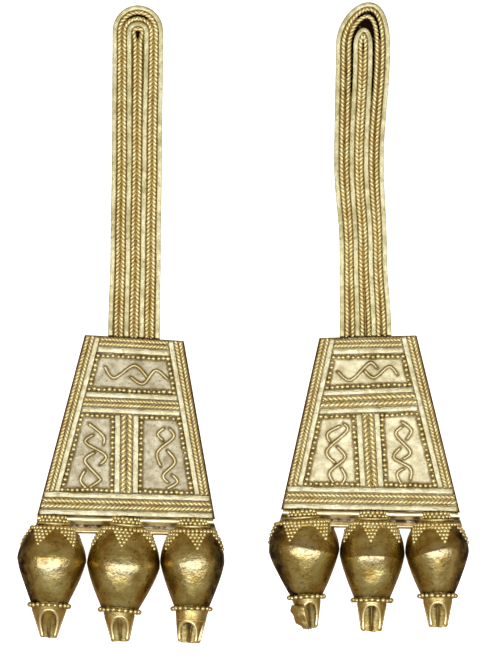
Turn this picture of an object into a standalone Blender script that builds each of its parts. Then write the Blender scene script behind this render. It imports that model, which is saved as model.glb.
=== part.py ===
"""A pair of ancient gold ear pendants, lying face up on their backs.

Each earring is a goldsmith's assembly of soldered pieces: a flat strap of wire hairpins nested
in one plane on a thin backing sheet, a tapering plate dressed with bands, filigree and bead
borders, and a row of three hollow fruits that touch each other, each ending in a notched crown.

One earring is drawn in its own frame: +X to the right, +Y up the strap, +Z out of the decorated
face, with the origin in the middle of the plate's top edge. An empty then lays it down so that
the tip of the strap and the backs of the fruits rest on the ground, Z = 0.
"""

import math
from dataclasses import dataclass

import bmesh
import bpy
from mathutils import Matrix, Vector

MM = 0.001

# Joints between soldered pieces
JOINT_GAP = 0.04 * MM

# Wire hairpins of the strap, which lie side by side in one plane
WIRE_DIAMETER = 0.72 * MM
RAIL_WIDTH = 0.66 * MM
RAIL_DEPTH = 0.9 * MM
WIRE_SIDES = 6
LEG_STEPS = 6
ARCH_STEPS = 9
BACKING_THICKNESS = 0.3 * MM
# Stretch below the bend over which the innermost hairpin opens into a small eye
CORE_EYE_REACH = 1.6 * MM

# Plate and what is soldered on its face
PLATE_THICKNESS = 1.8 * MM
# How far the plate's back spreads past its face at either side
PLATE_SPREAD = 0.35 * MM
STRIP_HEIGHT = 0.45 * MM
SIDE_STRIP_WIDTH = 0.8 * MM
TOP_STRIP_WIDTH = 0.95 * MM
CROSS_STRIP_WIDTH = 0.88 * MM
POST_STRIP_WIDTH = 0.88 * MM
BRAID_WIDTH = 2 * WIRE_DIAMETER + JOINT_GAP
BRAID_HEIGHT = 0.72 * MM
BRAID_HUMP_SIDES = 4
EDGE_MARGIN = 0.1 * MM

# Low relief inside the three panels
BEAD_DIAMETER = 0.72 * MM
BEAD_RIDGE_HEIGHT = 0.5 * MM
FILIGREE_DIAMETER = 0.42 * MM
FILIGREE_SINK = 0.12 * MM

# Moulding under the plate's foot, behind the necks of the fruits: an upper bead, a hollow cove
# and a lower lip. It flares outward at both ends.
MOULDING_DROP = 2.75 * MM
MOULDING_FLARE = 0.7 * MM
MOULDING_TENON = 0.3 * MM
BEAD_RISE = 0.35 * MM
COVE_HEIGHT = 0.35 * MM
LIP_HEIGHT = 0.85 * MM

# Fruits that hang from the plate
FRUIT_DEPTH_RADIUS = 5.4 * MM
NECK_RADIUS = 2.3 * MM
NECK_LENGTH = 1.0 * MM
NECK_RING_RADIUS = 2.65 * MM
COLLAR_THICKNESS = 0.7 * MM
FRUIT_SIDES = 16
SHOULDER_STEPS = 4
BELLY_STEPS = 4
REST_FLAT_DEPTH = 0.15 * MM

# Notched crown under each fruit
CROWN_WALL = 0.35 * MM
CROWN_CEILING = 0.35 * MM
FRONT_NOTCH_HALF_DEG = 56
SIDE_NOTCH_TURN_DEG = 104
SIDE_NOTCH_HALF_DEG = 28

# The two earrings side by side
PAIR_CLEARANCE = 7.1 * MM
PAIR_RISE = 0.2 * MM


@dataclass
class Stations:
    """A length that changes along the strap, at four places from the foot to the crown."""

    foot: float
    waist: float
    middle: float
    crown: float


@dataclass
class Fruit:
    """One hanging fruit. Drop is from its neck to its widest girth, taper from there to its collar.
    A low roundness makes the shoulder straight, a high one makes it full."""

    name: str
    radius: float
    drop: float
    roundness: float
    taper: float
    collar_radius: float
    lean_deg: float
    crown_top_radius: float
    crown_tip_radius: float
    crown_length: float
    # Sheet left whole between the crown's closed top and the heads of its notches
    crown_band: float
    crown_lean_deg: float
    crown_turn_deg: float


@dataclass
class Earring:
    """The sizes in which one earring differs from its pair."""

    name: str
    # Plate
    top_width: float
    top_slope_deg: float
    bottom_width: float
    bottom_slope_deg: float
    plate_height: float
    bottom_shift: float
    # Distances down the plate's sides
    top_band: float
    middle_band: float
    middle_tilt_deg: float
    post_share_top: float
    post_share_bottom: float
    # Widths of the braids, of which some are made of four thin wires
    middle_braid: float
    bottom_braid: float
    post_braid: float
    # Strap, with how far its middle wanders sideways at foot, waist, middle and crown
    strap_foot: float
    strap_line: Stations
    spring_height: float
    core_eye: float
    # How far each hairpin stands off from close packing at foot, waist, middle and crown,
    # how much higher than that its arch rises, and how far its arch leans over
    openings: dict
    crown_rise: dict
    crown_lean: dict
    # Fruits
    fruit_row_shift: float
    fruits: list
    # Filigree wires of the upper, left and right panel, each as its turning points, which are
    # given as shares of the panel's width from its left side and of its height from its top
    filigree: list


LEFT = Earring(
    name="left",
    top_width=15.6 * MM,
    top_slope_deg=-3.5,
    bottom_width=28.2 * MM,
    bottom_slope_deg=-1.3,
    plate_height=28.7 * MM,
    bottom_shift=-1.3 * MM,
    top_band=0.15 * MM,
    middle_band=8.9 * MM,
    middle_tilt_deg=0.0,
    post_share_top=0.471,
    post_share_bottom=0.494,
    middle_braid=1.48 * MM,
    bottom_braid=1.8 * MM,
    post_braid=1.95 * MM,
    strap_foot=-0.05 * MM,
    strap_line=Stations(foot=0.0 * MM, waist=0.26 * MM, middle=0.46 * MM, crown=0.6 * MM),
    spring_height=49.2 * MM,
    core_eye=0.27 * MM,
    openings={
        "core_wire": Stations(foot=0.03 * MM, waist=0.03 * MM, middle=0.03 * MM, crown=0.03 * MM),
        "inner_rail": Stations(foot=0.10 * MM, waist=0.10 * MM, middle=0.10 * MM, crown=0.28 * MM),
        "inner_wire": Stations(foot=0.20 * MM, waist=0.18 * MM, middle=0.18 * MM, crown=0.30 * MM),
        "outer_wire": Stations(foot=0.30 * MM, waist=0.24 * MM, middle=0.24 * MM, crown=0.33 * MM),
        "outer_rail": Stations(foot=0.45 * MM, waist=0.33 * MM, middle=0.33 * MM, crown=0.37 * MM),
    },
    crown_rise={
        "core_wire": 0.07 * MM,
        "inner_rail": 0.10 * MM,
        "inner_wire": 0.21 * MM,
        "outer_wire": 0.48 * MM,
        "outer_rail": 0.51 * MM,
    },
    crown_lean={},
    fruit_row_shift=-0.45 * MM,
    fruits=[
        Fruit(
            name="left", radius=5.55 * MM, drop=7.0 * MM, roundness=1.65, taper=7.0 * MM,
            collar_radius=3.0 * MM, lean_deg=-3.0, crown_top_radius=2.8 * MM,
            crown_tip_radius=1.2 * MM, crown_length=4.9 * MM, crown_band=0.1 * MM,
            crown_lean_deg=-1.0, crown_turn_deg=0,
        ),
        Fruit(
            name="middle", radius=5.85 * MM, drop=7.7 * MM, roundness=1.85, taper=6.9 * MM,
            collar_radius=3.0 * MM, lean_deg=-4.5, crown_top_radius=2.45 * MM,
            crown_tip_radius=1.35 * MM, crown_length=4.45 * MM, crown_band=0.15 * MM,
            crown_lean_deg=2.0, crown_turn_deg=0,
        ),
        Fruit(
            name="right", radius=5.16 * MM, drop=6.9 * MM, roundness=1.9, taper=7.1 * MM,
            collar_radius=2.85 * MM, lean_deg=-0.8, crown_top_radius=2.6 * MM,
            crown_tip_radius=1.7 * MM, crown_length=5.05 * MM, crown_band=1.35 * MM,
            crown_lean_deg=-5.0, crown_turn_deg=-15,
        ),
    ],
    filigree=[
        [
            [(0.121, 0.312), (0.271, 0.646), (0.516, 0.253), (0.689, 0.584)],
            [(0.474, 0.589), (0.632, 0.782), (0.802, 0.362), (0.950, 0.626)],
        ],
        [
            [(0.255, 0.109), (0.740, 0.269), (0.759, 0.386)],
            [(0.454, 0.257), (0.272, 0.361), (0.757, 0.496), (0.848, 0.571), (0.717, 0.657)],
            [(0.556, 0.491), (0.348, 0.612), (0.711, 0.825), (0.732, 0.876), (0.529, 0.971)],
            [(0.387, 0.737), (0.326, 0.873), (0.478, 0.980)],
        ],
        [
            [(0.587, 0.130), (0.414, 0.218), (0.530, 0.309)],
            [(0.703, 0.136), (0.793, 0.253), (0.375, 0.464), (0.433, 0.658)],
            [(0.606, 0.434), (0.748, 0.592), (0.470, 0.775), (0.565, 0.883)],
            [(0.655, 0.763), (0.746, 0.862), (0.520, 0.960)],
        ],
    ],
)

RIGHT = Earring(
    name="right",
    top_width=15.3 * MM,
    top_slope_deg=1.5,
    bottom_width=28.35 * MM,
    bottom_slope_deg=-1.0,
    plate_height=27.9 * MM,
    bottom_shift=0.4 * MM,
    top_band=0.3 * MM,
    middle_band=8.35 * MM,
    middle_tilt_deg=2.4,
    post_share_top=0.492,
    post_share_bottom=0.51,
    middle_braid=2.0 * MM,
    bottom_braid=1.8 * MM,
    post_braid=1.9 * MM,
    strap_foot=-0.38 * MM,
    strap_line=Stations(foot=0.0 * MM, waist=-0.38 * MM, middle=-1.05 * MM, crown=-0.4 * MM),
    spring_height=46.5 * MM,
    core_eye=0.05 * MM,
    openings={
        "core_wire": Stations(foot=0.18 * MM, waist=0.06 * MM, middle=0.00 * MM, crown=0.03 * MM),
        "inner_rail": Stations(foot=0.19 * MM, waist=0.07 * MM, middle=0.04 * MM, crown=0.08 * MM),
        "inner_wire": Stations(foot=0.20 * MM, waist=0.08 * MM, middle=0.08 * MM, crown=0.38 * MM),
        "outer_wire": Stations(foot=0.40 * MM, waist=0.09 * MM, middle=0.24 * MM, crown=0.60 * MM),
        "outer_rail": Stations(foot=0.45 * MM, waist=0.10 * MM, middle=0.29 * MM, crown=0.68 * MM),
    },
    crown_rise={
        "core_wire": 1.56 * MM,
        "inner_rail": 1.66 * MM,
        "inner_wire": 3.06 * MM,
        "outer_wire": 3.50 * MM,
        "outer_rail": 3.52 * MM,
    },
    crown_lean={
        "core_wire": 0.05 * MM,
        "inner_rail": 0.15 * MM,
        "inner_wire": 0.65 * MM,
        "outer_wire": 0.9 * MM,
        "outer_rail": 0.95 * MM,
    },
    fruit_row_shift=0.27 * MM,
    fruits=[
        Fruit(
            name="left", radius=5.65 * MM, drop=6.6 * MM, roundness=2.1, taper=7.0 * MM,
            collar_radius=2.6 * MM, lean_deg=3.0, crown_top_radius=2.25 * MM,
            crown_tip_radius=1.1 * MM, crown_length=4.7 * MM, crown_band=0.1 * MM,
            crown_lean_deg=7.0, crown_turn_deg=14,
        ),
        Fruit(
            name="middle", radius=5.2 * MM, drop=7.0 * MM, roundness=1.95, taper=6.9 * MM,
            collar_radius=2.9 * MM, lean_deg=-0.5, crown_top_radius=2.35 * MM,
            crown_tip_radius=1.6 * MM, crown_length=4.7 * MM, crown_band=0.1 * MM,
            crown_lean_deg=-1.5, crown_turn_deg=0,
        ),
        Fruit(
            name="right", radius=5.1 * MM, drop=6.4 * MM, roundness=1.9, taper=6.6 * MM,
            collar_radius=2.75 * MM, lean_deg=0.8, crown_top_radius=2.4 * MM,
            crown_tip_radius=1.4 * MM, crown_length=4.8 * MM, crown_band=0.5 * MM,
            crown_lean_deg=1.0, crown_turn_deg=0,
        ),
    ],
    filigree=[
        [
            [(0.092, 0.469), (0.276, 0.777), (0.511, 0.221), (0.618, 0.408)],
            [(0.444, 0.456), (0.571, 0.725), (0.778, 0.359), (0.874, 0.652)],
        ],
        [
            [(0.630, 0.140), (0.291, 0.248), (0.381, 0.388)],
            [(0.698, 0.104), (0.800, 0.215), (0.326, 0.508), (0.546, 0.693)],
            [(0.555, 0.444), (0.749, 0.610), (0.440, 0.822), (0.542, 0.988)],
            [(0.669, 0.757), (0.760, 0.895), (0.664, 1.024)],
        ],
        [
            [(0.521, 0.170), (0.330, 0.283), (0.618, 0.523), (0.414, 0.638)],
            [(0.525, 0.099), (0.747, 0.225), (0.577, 0.356)],
            [(0.394, 0.470), (0.219, 0.612), (0.552, 0.761), (0.510, 0.930)],
            [(0.414, 0.762), (0.249, 0.843), (0.315, 0.994)],
        ],
    ],
)


# Small helpers


def clear_scene():
    for old in list(bpy.data.objects):
        bpy.data.objects.remove(old)


def gold(name, colour, roughness):
    """A polished or worn gold surface."""
    material = bpy.data.materials.new(name)
    material.use_nodes = True
    shader = material.node_tree.nodes["Principled BSDF"]
    shader.inputs["Base Color"].default_value = (*colour, 1.0)
    shader.inputs["Metallic"].default_value = 1.0
    shader.inputs["Roughness"].default_value = roughness
    return material


def finish_mesh(name, bm, parent, material):
    """Turns the built faces outward and makes the named object from them."""
    bmesh.ops.recalc_face_normals(bm, faces=bm.faces)
    mesh = bpy.data.meshes.new(name)
    bm.to_mesh(mesh)
    bm.free()
    mesh.materials.append(material)
    piece = bpy.data.objects.new(name, mesh)
    bpy.context.scene.collection.objects.link(piece)
    piece.parent = parent
    return piece


def skin(bm, rings):
    """Joins closed rings of vertices one after the other and caps both ends."""
    count = len(rings[0])
    for lower, upper in zip(rings, rings[1:]):
        for i in range(count):
            j = (i + 1) % count
            bm.faces.new((lower[i], lower[j], upper[j], upper[i]))
    bm.faces.new(rings[0])
    bm.faces.new(rings[-1])


def through_stations(stations, share):
    """The length at a share of the strap's height, evenly eased from one station to the next."""
    shares = (0.0, 0.3, 0.6, 1.0)
    values = (stations.foot, stations.waist, stations.middle, stations.crown)
    for (low, high), (start, end) in zip(zip(shares, shares[1:]), zip(values, values[1:])):
        if share <= high:
            t = (share - low) / (high - low)
            return start + (end - start) * (1 - math.cos(math.pi * t)) / 2
    return stations.crown


# The plate's outline and the lines ruled on it


def along_slope(width, slope_deg, share, middle):
    """A point on a sloping edge, given its middle and a share from its left end."""
    slope = math.radians(slope_deg)
    return middle + Vector((math.cos(slope), math.sin(slope))) * width * (share - 0.5)


def side_point(earring, side, down):
    """A point on the plate's left (0) or right (1) side, that far down from its top corner."""
    top = along_slope(earring.top_width, earring.top_slope_deg, side, Vector((0, 0)))
    foot = Vector((earring.bottom_shift, -earring.plate_height))
    bottom = along_slope(earring.bottom_width, earring.bottom_slope_deg, side, foot)
    return top + (bottom - top) * (down / earring.plate_height)


def plate_point(earring, downs, share=None, inset=None, from_right=False):
    """A point on a line ruled from side to side, by its share or its inset from one side."""
    left = side_point(earring, 0, downs[0])
    right = side_point(earring, 1, downs[1])
    across = right - left
    if share is not None:
        return left + across * share
    if from_right:
        return right - across.normalized() * inset
    return left + across.normalized() * inset


def level(down):
    """The same distance down on both sides."""
    return (down, down)


def beside_middle_band(earring, down):
    """Distances down the left and right side, for a line that runs along the middle band."""
    rise = math.tan(math.radians(earring.middle_tilt_deg)) * earring.top_width / 2
    return (down + rise, down - rise)


def top_edge_y(earring, x):
    return math.tan(math.radians(earring.top_slope_deg)) * x


def bottom_edge_y(earring, x):
    slope = math.tan(math.radians(earring.bottom_slope_deg))
    return -earring.plate_height + slope * (x - earring.bottom_shift)


# Strap


def hairpins():
    """Name, width, half depth and packed offset of each hairpin, from the middle outward."""
    kinds = [
        ("core_wire", WIRE_DIAMETER, True),
        ("inner_rail", RAIL_WIDTH, False),
        ("inner_wire", WIRE_DIAMETER, True),
        ("outer_wire", WIRE_DIAMETER, True),
        ("outer_rail", RAIL_WIDTH, False),
    ]
    edge = JOINT_GAP / 2
    for name, width, is_round in kinds:
        yield name, width, is_round, edge + width / 2
        edge += width + JOINT_GAP


def strap_middle(earring, height):
    """Where the strap's centre line is at a height above the plate."""
    return earring.strap_foot + through_stations(earring.strap_line, height / earring.spring_height)


def hairpin_path(earring, name, packed):
    """Up the left leg, over the arch and down the right leg."""

    spring = earring.spring_height
    heights = [spring * i / LEG_STEPS for i in range(LEG_STEPS)]
    eye = 0.0
    if name == "core_wire":
        heights.append(spring - CORE_EYE_REACH)
        eye = earring.core_eye

    def leg_x(side, height):
        half = packed + through_stations(earring.openings[name], height / spring)
        half += eye * max(0.0, 1 - (spring - height) / CORE_EYE_REACH)
        return strap_middle(earring, height) + side * half

    left = [Vector((leg_x(-1, h), h)) for h in heights]
    right = [Vector((leg_x(1, h), h)) for h in heights]
    middle = (leg_x(-1, spring) + leg_x(1, spring)) / 2
    half = (leg_x(1, spring) - leg_x(-1, spring)) / 2
    rise = packed + earring.crown_rise[name]
    lean = earring.crown_lean.get(name, 0.0)
    arch = []
    for i in range(ARCH_STEPS + 1):
        angle = math.pi * (1 - i / ARCH_STEPS)
        x = middle + half * math.cos(angle) + lean * math.sin(angle) ** 2
        arch.append(Vector((x, spring + rise * math.sin(angle))))
    return left + arch + right[::-1]


def section_of(width, is_round):
    """Outline of a wire's or a rail's cut end, across the strap and through its depth."""
    if not is_round:
        half, deep = width / 2, RAIL_DEPTH / 2
        return [(-half, -deep), (half, -deep), (half, deep), (-half, deep)]
    turn = 2 * math.pi / WIRE_SIDES
    radius = width / 2
    return [(radius * math.cos(turn * i), radius * math.sin(turn * i)) for i in range(WIRE_SIDES)]


def build_hairpin(earring, name, width, is_round, packed, parent, material):
    path = hairpin_path(earring, name, packed)
    section = section_of(width, is_round)
    bm = bmesh.new()
    rings = []
    last = len(path) - 1
    for i, point in enumerate(path):
        ahead = path[min(i + 1, last)] - path[max(i - 1, 0)]
        across = Vector((ahead.y, -ahead.x)).normalized()
        ring = []
        for offset, depth in section:
            x, y = point + across * offset
            if i in (0, last):
                y = top_edge_y(earring, x) + JOINT_GAP
            ring.append(bm.verts.new((x, y, depth)))
        rings.append(ring)
    skin(bm, rings)
    piece = finish_mesh(f"{earring.name}_strap_{name}", bm, parent, material)
    if is_round:
        piece.data.shade_smooth()
    return piece


def build_backing(earring, parent, material):
    """A thin sheet behind the hairpins. It ends under the middle of the outermost one."""
    name, _, _, packed = list(hairpins())[-1]
    outline = hairpin_path(earring, name, packed)
    for foot in (outline[0], outline[-1]):
        foot.y = top_edge_y(earring, foot.x) + JOINT_GAP
    front = -(RAIL_DEPTH / 2 + JOINT_GAP)
    bm = bmesh.new()
    skin(bm, [[bm.verts.new((x, y, z)) for x, y in outline] for z in (front - BACKING_THICKNESS, front)])
    finish_mesh(f"{earring.name}_strap_backing", bm, parent, material)


# Bands on the plate


def flat_profile():
    return [(0, 0), (1, 0), (1, STRIP_HEIGHT), (0, STRIP_HEIGHT)]


def braid_profile():
    """Two round wires side by side, closed below, as one soldered braid."""
    points = [(0.0, 0.0), (1.0, 0.0)]
    for hump in (0.75, 0.25):
        for i in range(BRAID_HUMP_SIDES + 1):
            angle = math.pi * (i / BRAID_HUMP_SIDES * 0.8 + 0.1)
            height = BRAID_HEIGHT * (0.5 + 0.5 * math.sin(angle))
            points.append((hump + 0.25 * math.cos(angle), height))
    return points


def build_band(name, corners, profile, parent, material):
    """A bar from one end to the other, on the plate's face. Corners are start left, start right,
    end left and end right."""
    start_left, start_right, end_left, end_right = corners
    floor = PLATE_THICKNESS / 2 + JOINT_GAP
    bm = bmesh.new()
    rings = []
    for left, right in ((start_left, start_right), (end_left, end_right)):
        ring = []
        for share, height in profile:
            x, y = left + (right - left) * share
            ring.append(bm.verts.new((x, y, floor + height)))
        rings.append(ring)
    skin(bm, rings)
    return finish_mesh(name, bm, parent, material)


def cross_band(earring, inset, start, end):
    """Corners of a band that runs from side to side, between two ruled lines."""
    return (
        plate_point(earring, start, inset=inset),
        plate_point(earring, end, inset=inset),
        plate_point(earring, start, inset=inset, from_right=True),
        plate_point(earring, end, inset=inset, from_right=True),
    )


def side_band(earring, inset, width, down, up_to, from_right):
    """Corners of a band that runs down one side."""
    return (
        plate_point(earring, level(down), inset=inset, from_right=from_right),
        plate_point(earring, level(down), inset=inset + width, from_right=from_right),
        plate_point(earring, level(up_to), inset=inset, from_right=from_right),
        plate_point(earring, level(up_to), inset=inset + width, from_right=from_right),
    )


def frame_inset():
    """From the plate's side to the inner edge of its side strip, with a hairline."""
    return EDGE_MARGIN + BRAID_WIDTH + SIDE_STRIP_WIDTH + 2 * JOINT_GAP


def band_rows(earring):
    """Name, distance down, width and kind of each band that crosses the plate."""
    rows = []

    def stack(prefix, start, pieces):
        down = start
        for label, width, kind in pieces:
            rows.append((f"{prefix}_{label}", down, width, kind))
            down += width + JOINT_GAP
        return down

    stack("top", earring.top_band, [("braid", BRAID_WIDTH, "braid"), ("strip", TOP_STRIP_WIDTH, "flat")])
    for prefix, start, braid in (
        ("middle", earring.middle_band, earring.middle_braid),
        ("bottom", bottom_band_top(earring), earring.bottom_braid),
    ):
        stack(prefix, start, [
            ("upper_strip", CROSS_STRIP_WIDTH, "flat"),
            ("braid", braid, "braid"),
            ("lower_strip", CROSS_STRIP_WIDTH, "flat"),
        ])
    return rows


def bottom_band_top(earring):
    stack = 2 * CROSS_STRIP_WIDTH + earring.bottom_braid + 2 * JOINT_GAP
    return earring.plate_height - EDGE_MARGIN - stack


def middle_band_foot(earring):
    return earring.middle_band + 2 * CROSS_STRIP_WIDTH + earring.middle_braid + 2 * JOINT_GAP


def post_rows(earring):
    """Name, share offset and width of the upright bands, from left to right."""
    start = -(POST_STRIP_WIDTH + earring.post_braid / 2 + JOINT_GAP)
    for label, width, kind in (
        ("left_strip", POST_STRIP_WIDTH, "flat"),
        ("braid", earring.post_braid, "braid"),
        ("right_strip", POST_STRIP_WIDTH, "flat"),
    ):
        yield label, start, width, kind
        start += width + JOINT_GAP


def post_corner(earring, offset, at_top):
    """A point on the post, that far sideways from its middle, at its top or bottom end."""
    if at_top:
        downs = beside_middle_band(earring, middle_band_foot(earring) + JOINT_GAP)
        share = earring.post_share_top
    else:
        downs = level(bottom_band_top(earring) - JOINT_GAP)
        share = earring.post_share_bottom
    middle = plate_point(earring, downs, share=share)
    across = side_point(earring, 1, downs[1]) - side_point(earring, 0, downs[0])
    return middle + across.normalized() * offset


def build_bands(earring, parent, material):
    profiles = {"flat": flat_profile(), "braid": braid_profile()}
    for label, down, width, kind in band_rows(earring):
        inset = EDGE_MARGIN if label.startswith("bottom") else frame_inset()
        ends = [level(down), level(down + width)]
        if label.startswith("middle"):
            ends = [beside_middle_band(earring, down), beside_middle_band(earring, down + width)]
        corners = cross_band(earring, inset, *ends)
        build_band(f"{earring.name}_{label}", corners, profiles[kind], parent, material)
    foot = bottom_band_top(earring) - JOINT_GAP
    for side, from_right in (("left", False), ("right", True)):
        corners = side_band(earring, EDGE_MARGIN, BRAID_WIDTH, EDGE_MARGIN, foot, from_right)
        build_band(f"{earring.name}_{side}_side_braid", corners, profiles["braid"], parent, material)
        strip_inset = EDGE_MARGIN + BRAID_WIDTH + JOINT_GAP
        corners = side_band(earring, strip_inset, SIDE_STRIP_WIDTH, EDGE_MARGIN, foot, from_right)
        build_band(f"{earring.name}_{side}_side_strip", corners, profiles["flat"], parent, material)
    for label, start, width, kind in post_rows(earring):
        corners = (
            post_corner(earring, start, True),
            post_corner(earring, start + width, True),
            post_corner(earring, start, False),
            post_corner(earring, start + width, False),
        )
        build_band(f"{earring.name}_post_{label}", corners, profiles[kind], parent, material)


# Plate with its low relief


def panels(earring):
    """The three sunk panels, each as the middle line of its bead border, corner by corner."""
    reach = frame_inset() + BEAD_DIAMETER * 0.55
    row = BEAD_DIAMETER * 0.6
    post_half = POST_STRIP_WIDTH + earring.post_braid / 2 + JOINT_GAP + BEAD_DIAMETER * 0.55

    upper_top = level(earring.top_band + BRAID_WIDTH + TOP_STRIP_WIDTH + 2 * JOINT_GAP + row)
    upper_foot = beside_middle_band(earring, earring.middle_band - row)
    lower_top = beside_middle_band(earring, middle_band_foot(earring) + row)
    lower_foot = level(bottom_band_top(earring) - row)

    def edge(downs, from_right):
        return plate_point(earring, downs, inset=reach, from_right=from_right)

    upper = [edge(upper_top, False), edge(upper_top, True), edge(upper_foot, True), edge(upper_foot, False)]
    left = [
        edge(lower_top, False),
        post_corner(earring, -post_half, True) - Vector((0, row)),
        post_corner(earring, -post_half, False) + Vector((0, row)),
        edge(lower_foot, False),
    ]
    right = [
        post_corner(earring, post_half, True) - Vector((0, row)),
        edge(lower_top, True),
        edge(lower_foot, True),
        post_corner(earring, post_half, False) + Vector((0, row)),
    ]
    return [upper, left, right]


def panel_point(corners, across, down):
    """A point of a panel, by its shares of the panel's width and height from the top left."""
    top = corners[0] + (corners[1] - corners[0]) * across
    foot = corners[3] + (corners[2] - corners[3]) * across
    return top + (foot - top) * down


def smooth_line(points, steps=3):
    """A line through the points with rounded turns."""
    line = [points[0]]
    padded = [points[0]] + points + [points[-1]]
    for a, b, c, d in zip(padded, padded[1:], padded[2:], padded[3:]):
        for i in range(1, steps + 1):
            t = i / steps
            line.append(
                0.5 * (2 * b + (c - a) * t + (2 * a - 5 * b + 4 * c - d) * t**2 + (3 * b - a - 3 * c + d) * t**3)
            )
    return line


def relief_rings(bm, line, half_width, height, closed):
    """Cut ends of a low wire that stands on the plate and is sunk a little into it."""
    face = PLATE_THICKNESS / 2
    section = ((-1, -FILIGREE_SINK), (1, -FILIGREE_SINK), (0.6, height), (-0.6, height))
    rings = []
    count = len(line)
    for i, point in enumerate(line):
        if closed:
            back, ahead = point - line[i - 1], line[(i + 1) % count] - point
        else:
            back = point - line[i - 1] if i else line[1] - point
            ahead = line[i + 1] - point if i < count - 1 else back
        across = Vector((back.y, -back.x)).normalized() + Vector((ahead.y, -ahead.x)).normalized()
        across = across / across.length_squared * 2 * half_width
        ring = []
        for offset, lift in section:
            x, y = point + across * offset
            ring.append(bm.verts.new((x, y, face + lift)))
        rings.append(ring)
    return rings


def relief_wire(bm, line, half_width, height):
    skin(bm, relief_rings(bm, line, half_width, height, closed=False))


def relief_border(bm, corners, half_width, height):
    rings = relief_rings(bm, corners, half_width, height, closed=True)
    count = len(rings[0])
    for one, two in zip(rings, rings[1:] + rings[:1]):
        for i in range(count):
            j = (i + 1) % count
            bm.faces.new((one[i], one[j], two[j], two[i]))


def build_tool(name, bm, parent, material):
    """A body that is only fused to another or cut from it."""
    tool = finish_mesh(name, bm, parent, material)
    tool.hide_render = True
    tool.display_type = "WIRE"
    return tool


def apply_tool(body, tool, operation, tool_meets_itself=False):
    step = body.modifiers.new(tool.name, "BOOLEAN")
    step.operation = operation
    step.solver = "EXACT"
    step.use_self = tool_meets_itself
    step.object = tool


def build_moulding(earring, parent, material):
    """A bead, a cove and a lip along the plate's foot, as distance below it and height."""
    half = PLATE_THICKNESS / 2
    inner = half * 0.8
    drop = MOULDING_DROP
    outline = [
        (-MOULDING_TENON, inner),
        (0.02 * drop, inner),
        (0.06 * drop, half + 0.6 * BEAD_RISE),
        (0.18 * drop, half + BEAD_RISE),
        (0.32 * drop, half + 0.5 * BEAD_RISE),
        (0.45 * drop, COVE_HEIGHT * 1.3),
        (0.60 * drop, COVE_HEIGHT),
        (0.76 * drop, COVE_HEIGHT * 1.6),
        (0.84 * drop, LIP_HEIGHT),
        (0.95 * drop, LIP_HEIGHT * 0.9),
        (drop, LIP_HEIGHT * 0.4),
        (drop, -0.4 * half),
        (0.9 * drop, -inner),
        (-MOULDING_TENON, -inner),
    ]
    bm = bmesh.new()
    rings = []
    for side in (0, 1):
        corner = side_point(earring, side, earring.plate_height)
        outward = 1 if side else -1
        ring = []
        for down, height in outline:
            share = (down + MOULDING_TENON) / (drop + MOULDING_TENON)
            flare = (MOULDING_FLARE + MOULDING_TENON) * share - MOULDING_TENON
            ring.append(bm.verts.new((corner.x + outward * flare, corner.y - down, height)))
        rings.append(ring)
    skin(bm, rings)
    return build_tool(f"{earring.name}_moulding", bm, parent, material)


def build_relief(earring, parent, material):
    bm = bmesh.new()
    for corners, wires in zip(panels(earring), earring.filigree):
        relief_border(bm, corners, BEAD_DIAMETER * 0.35, BEAD_RIDGE_HEIGHT)
        for index, turns in enumerate(wires):
            line = smooth_line([panel_point(corners, *turn) for turn in turns])
            height = FILIGREE_DIAMETER * (1 + 0.04 * (index % 3))
            relief_wire(bm, line, FILIGREE_DIAMETER / 2, height)
    return build_tool(f"{earring.name}_relief", bm, parent, material)


def build_plate(earring, fruit_clearances, parent, material):
    """A tapering box with a moulding at its foot, and wires and beads in its three panels."""
    bm = bmesh.new()
    rings = []
    for height, spread in ((-PLATE_THICKNESS / 2, PLATE_SPREAD), (PLATE_THICKNESS / 2, 0.0)):
        ring = []
        for side, down in ((0, 0), (1, 0), (1, earring.plate_height), (0, earring.plate_height)):
            x, y = side_point(earring, side, down)
            outward = 1 if side else -1
            ring.append(bm.verts.new((x + outward * spread, y, height)))
        rings.append(ring)
    skin(bm, rings)
    plate = finish_mesh(f"{earring.name}_plate", bm, parent, material)
    apply_tool(plate, build_moulding(earring, parent, material), "UNION")
    for clearance in fruit_clearances:
        apply_tool(plate, clearance, "DIFFERENCE")
    apply_tool(plate, build_relief(earring, parent, material), "UNION", tool_meets_itself=True)
    return plate


# Fruits


def fruit_profile(fruit, grow=0.0):
    """Distance below the neck and radius, from the neck's top to the collar's foot."""
    ring = NECK_LENGTH + 0.35 * MM
    profile = [(0.0, NECK_RADIUS), (NECK_LENGTH, NECK_RADIUS), (ring, NECK_RING_RADIUS)]
    start = ring + 0.25 * MM
    for i in range(SHOULDER_STEPS + 1):
        share = start / fruit.drop + (1 - start / fruit.drop) * i / SHOULDER_STEPS
        radius = fruit.radius * (1 - (1 - share) ** fruit.roundness) ** (1 / fruit.roundness)
        profile.append((fruit.drop * share, radius))
    belly = fruit.radius - fruit.collar_radius
    for i in range(1, BELLY_STEPS + 1):
        share = i / BELLY_STEPS
        profile.append((fruit.drop + fruit.taper * share, fruit.radius - belly * share**1.2))
    foot = fruit.drop + fruit.taper
    bulge = fruit.collar_radius * 1.06
    profile.append((foot + COLLAR_THICKNESS * 0.35, bulge))
    profile.append((foot + COLLAR_THICKNESS * 0.75, bulge))
    profile.append((foot + COLLAR_THICKNESS, fruit.collar_radius * 0.93))
    return [(distance, radius + grow) for distance, radius in profile]


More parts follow.
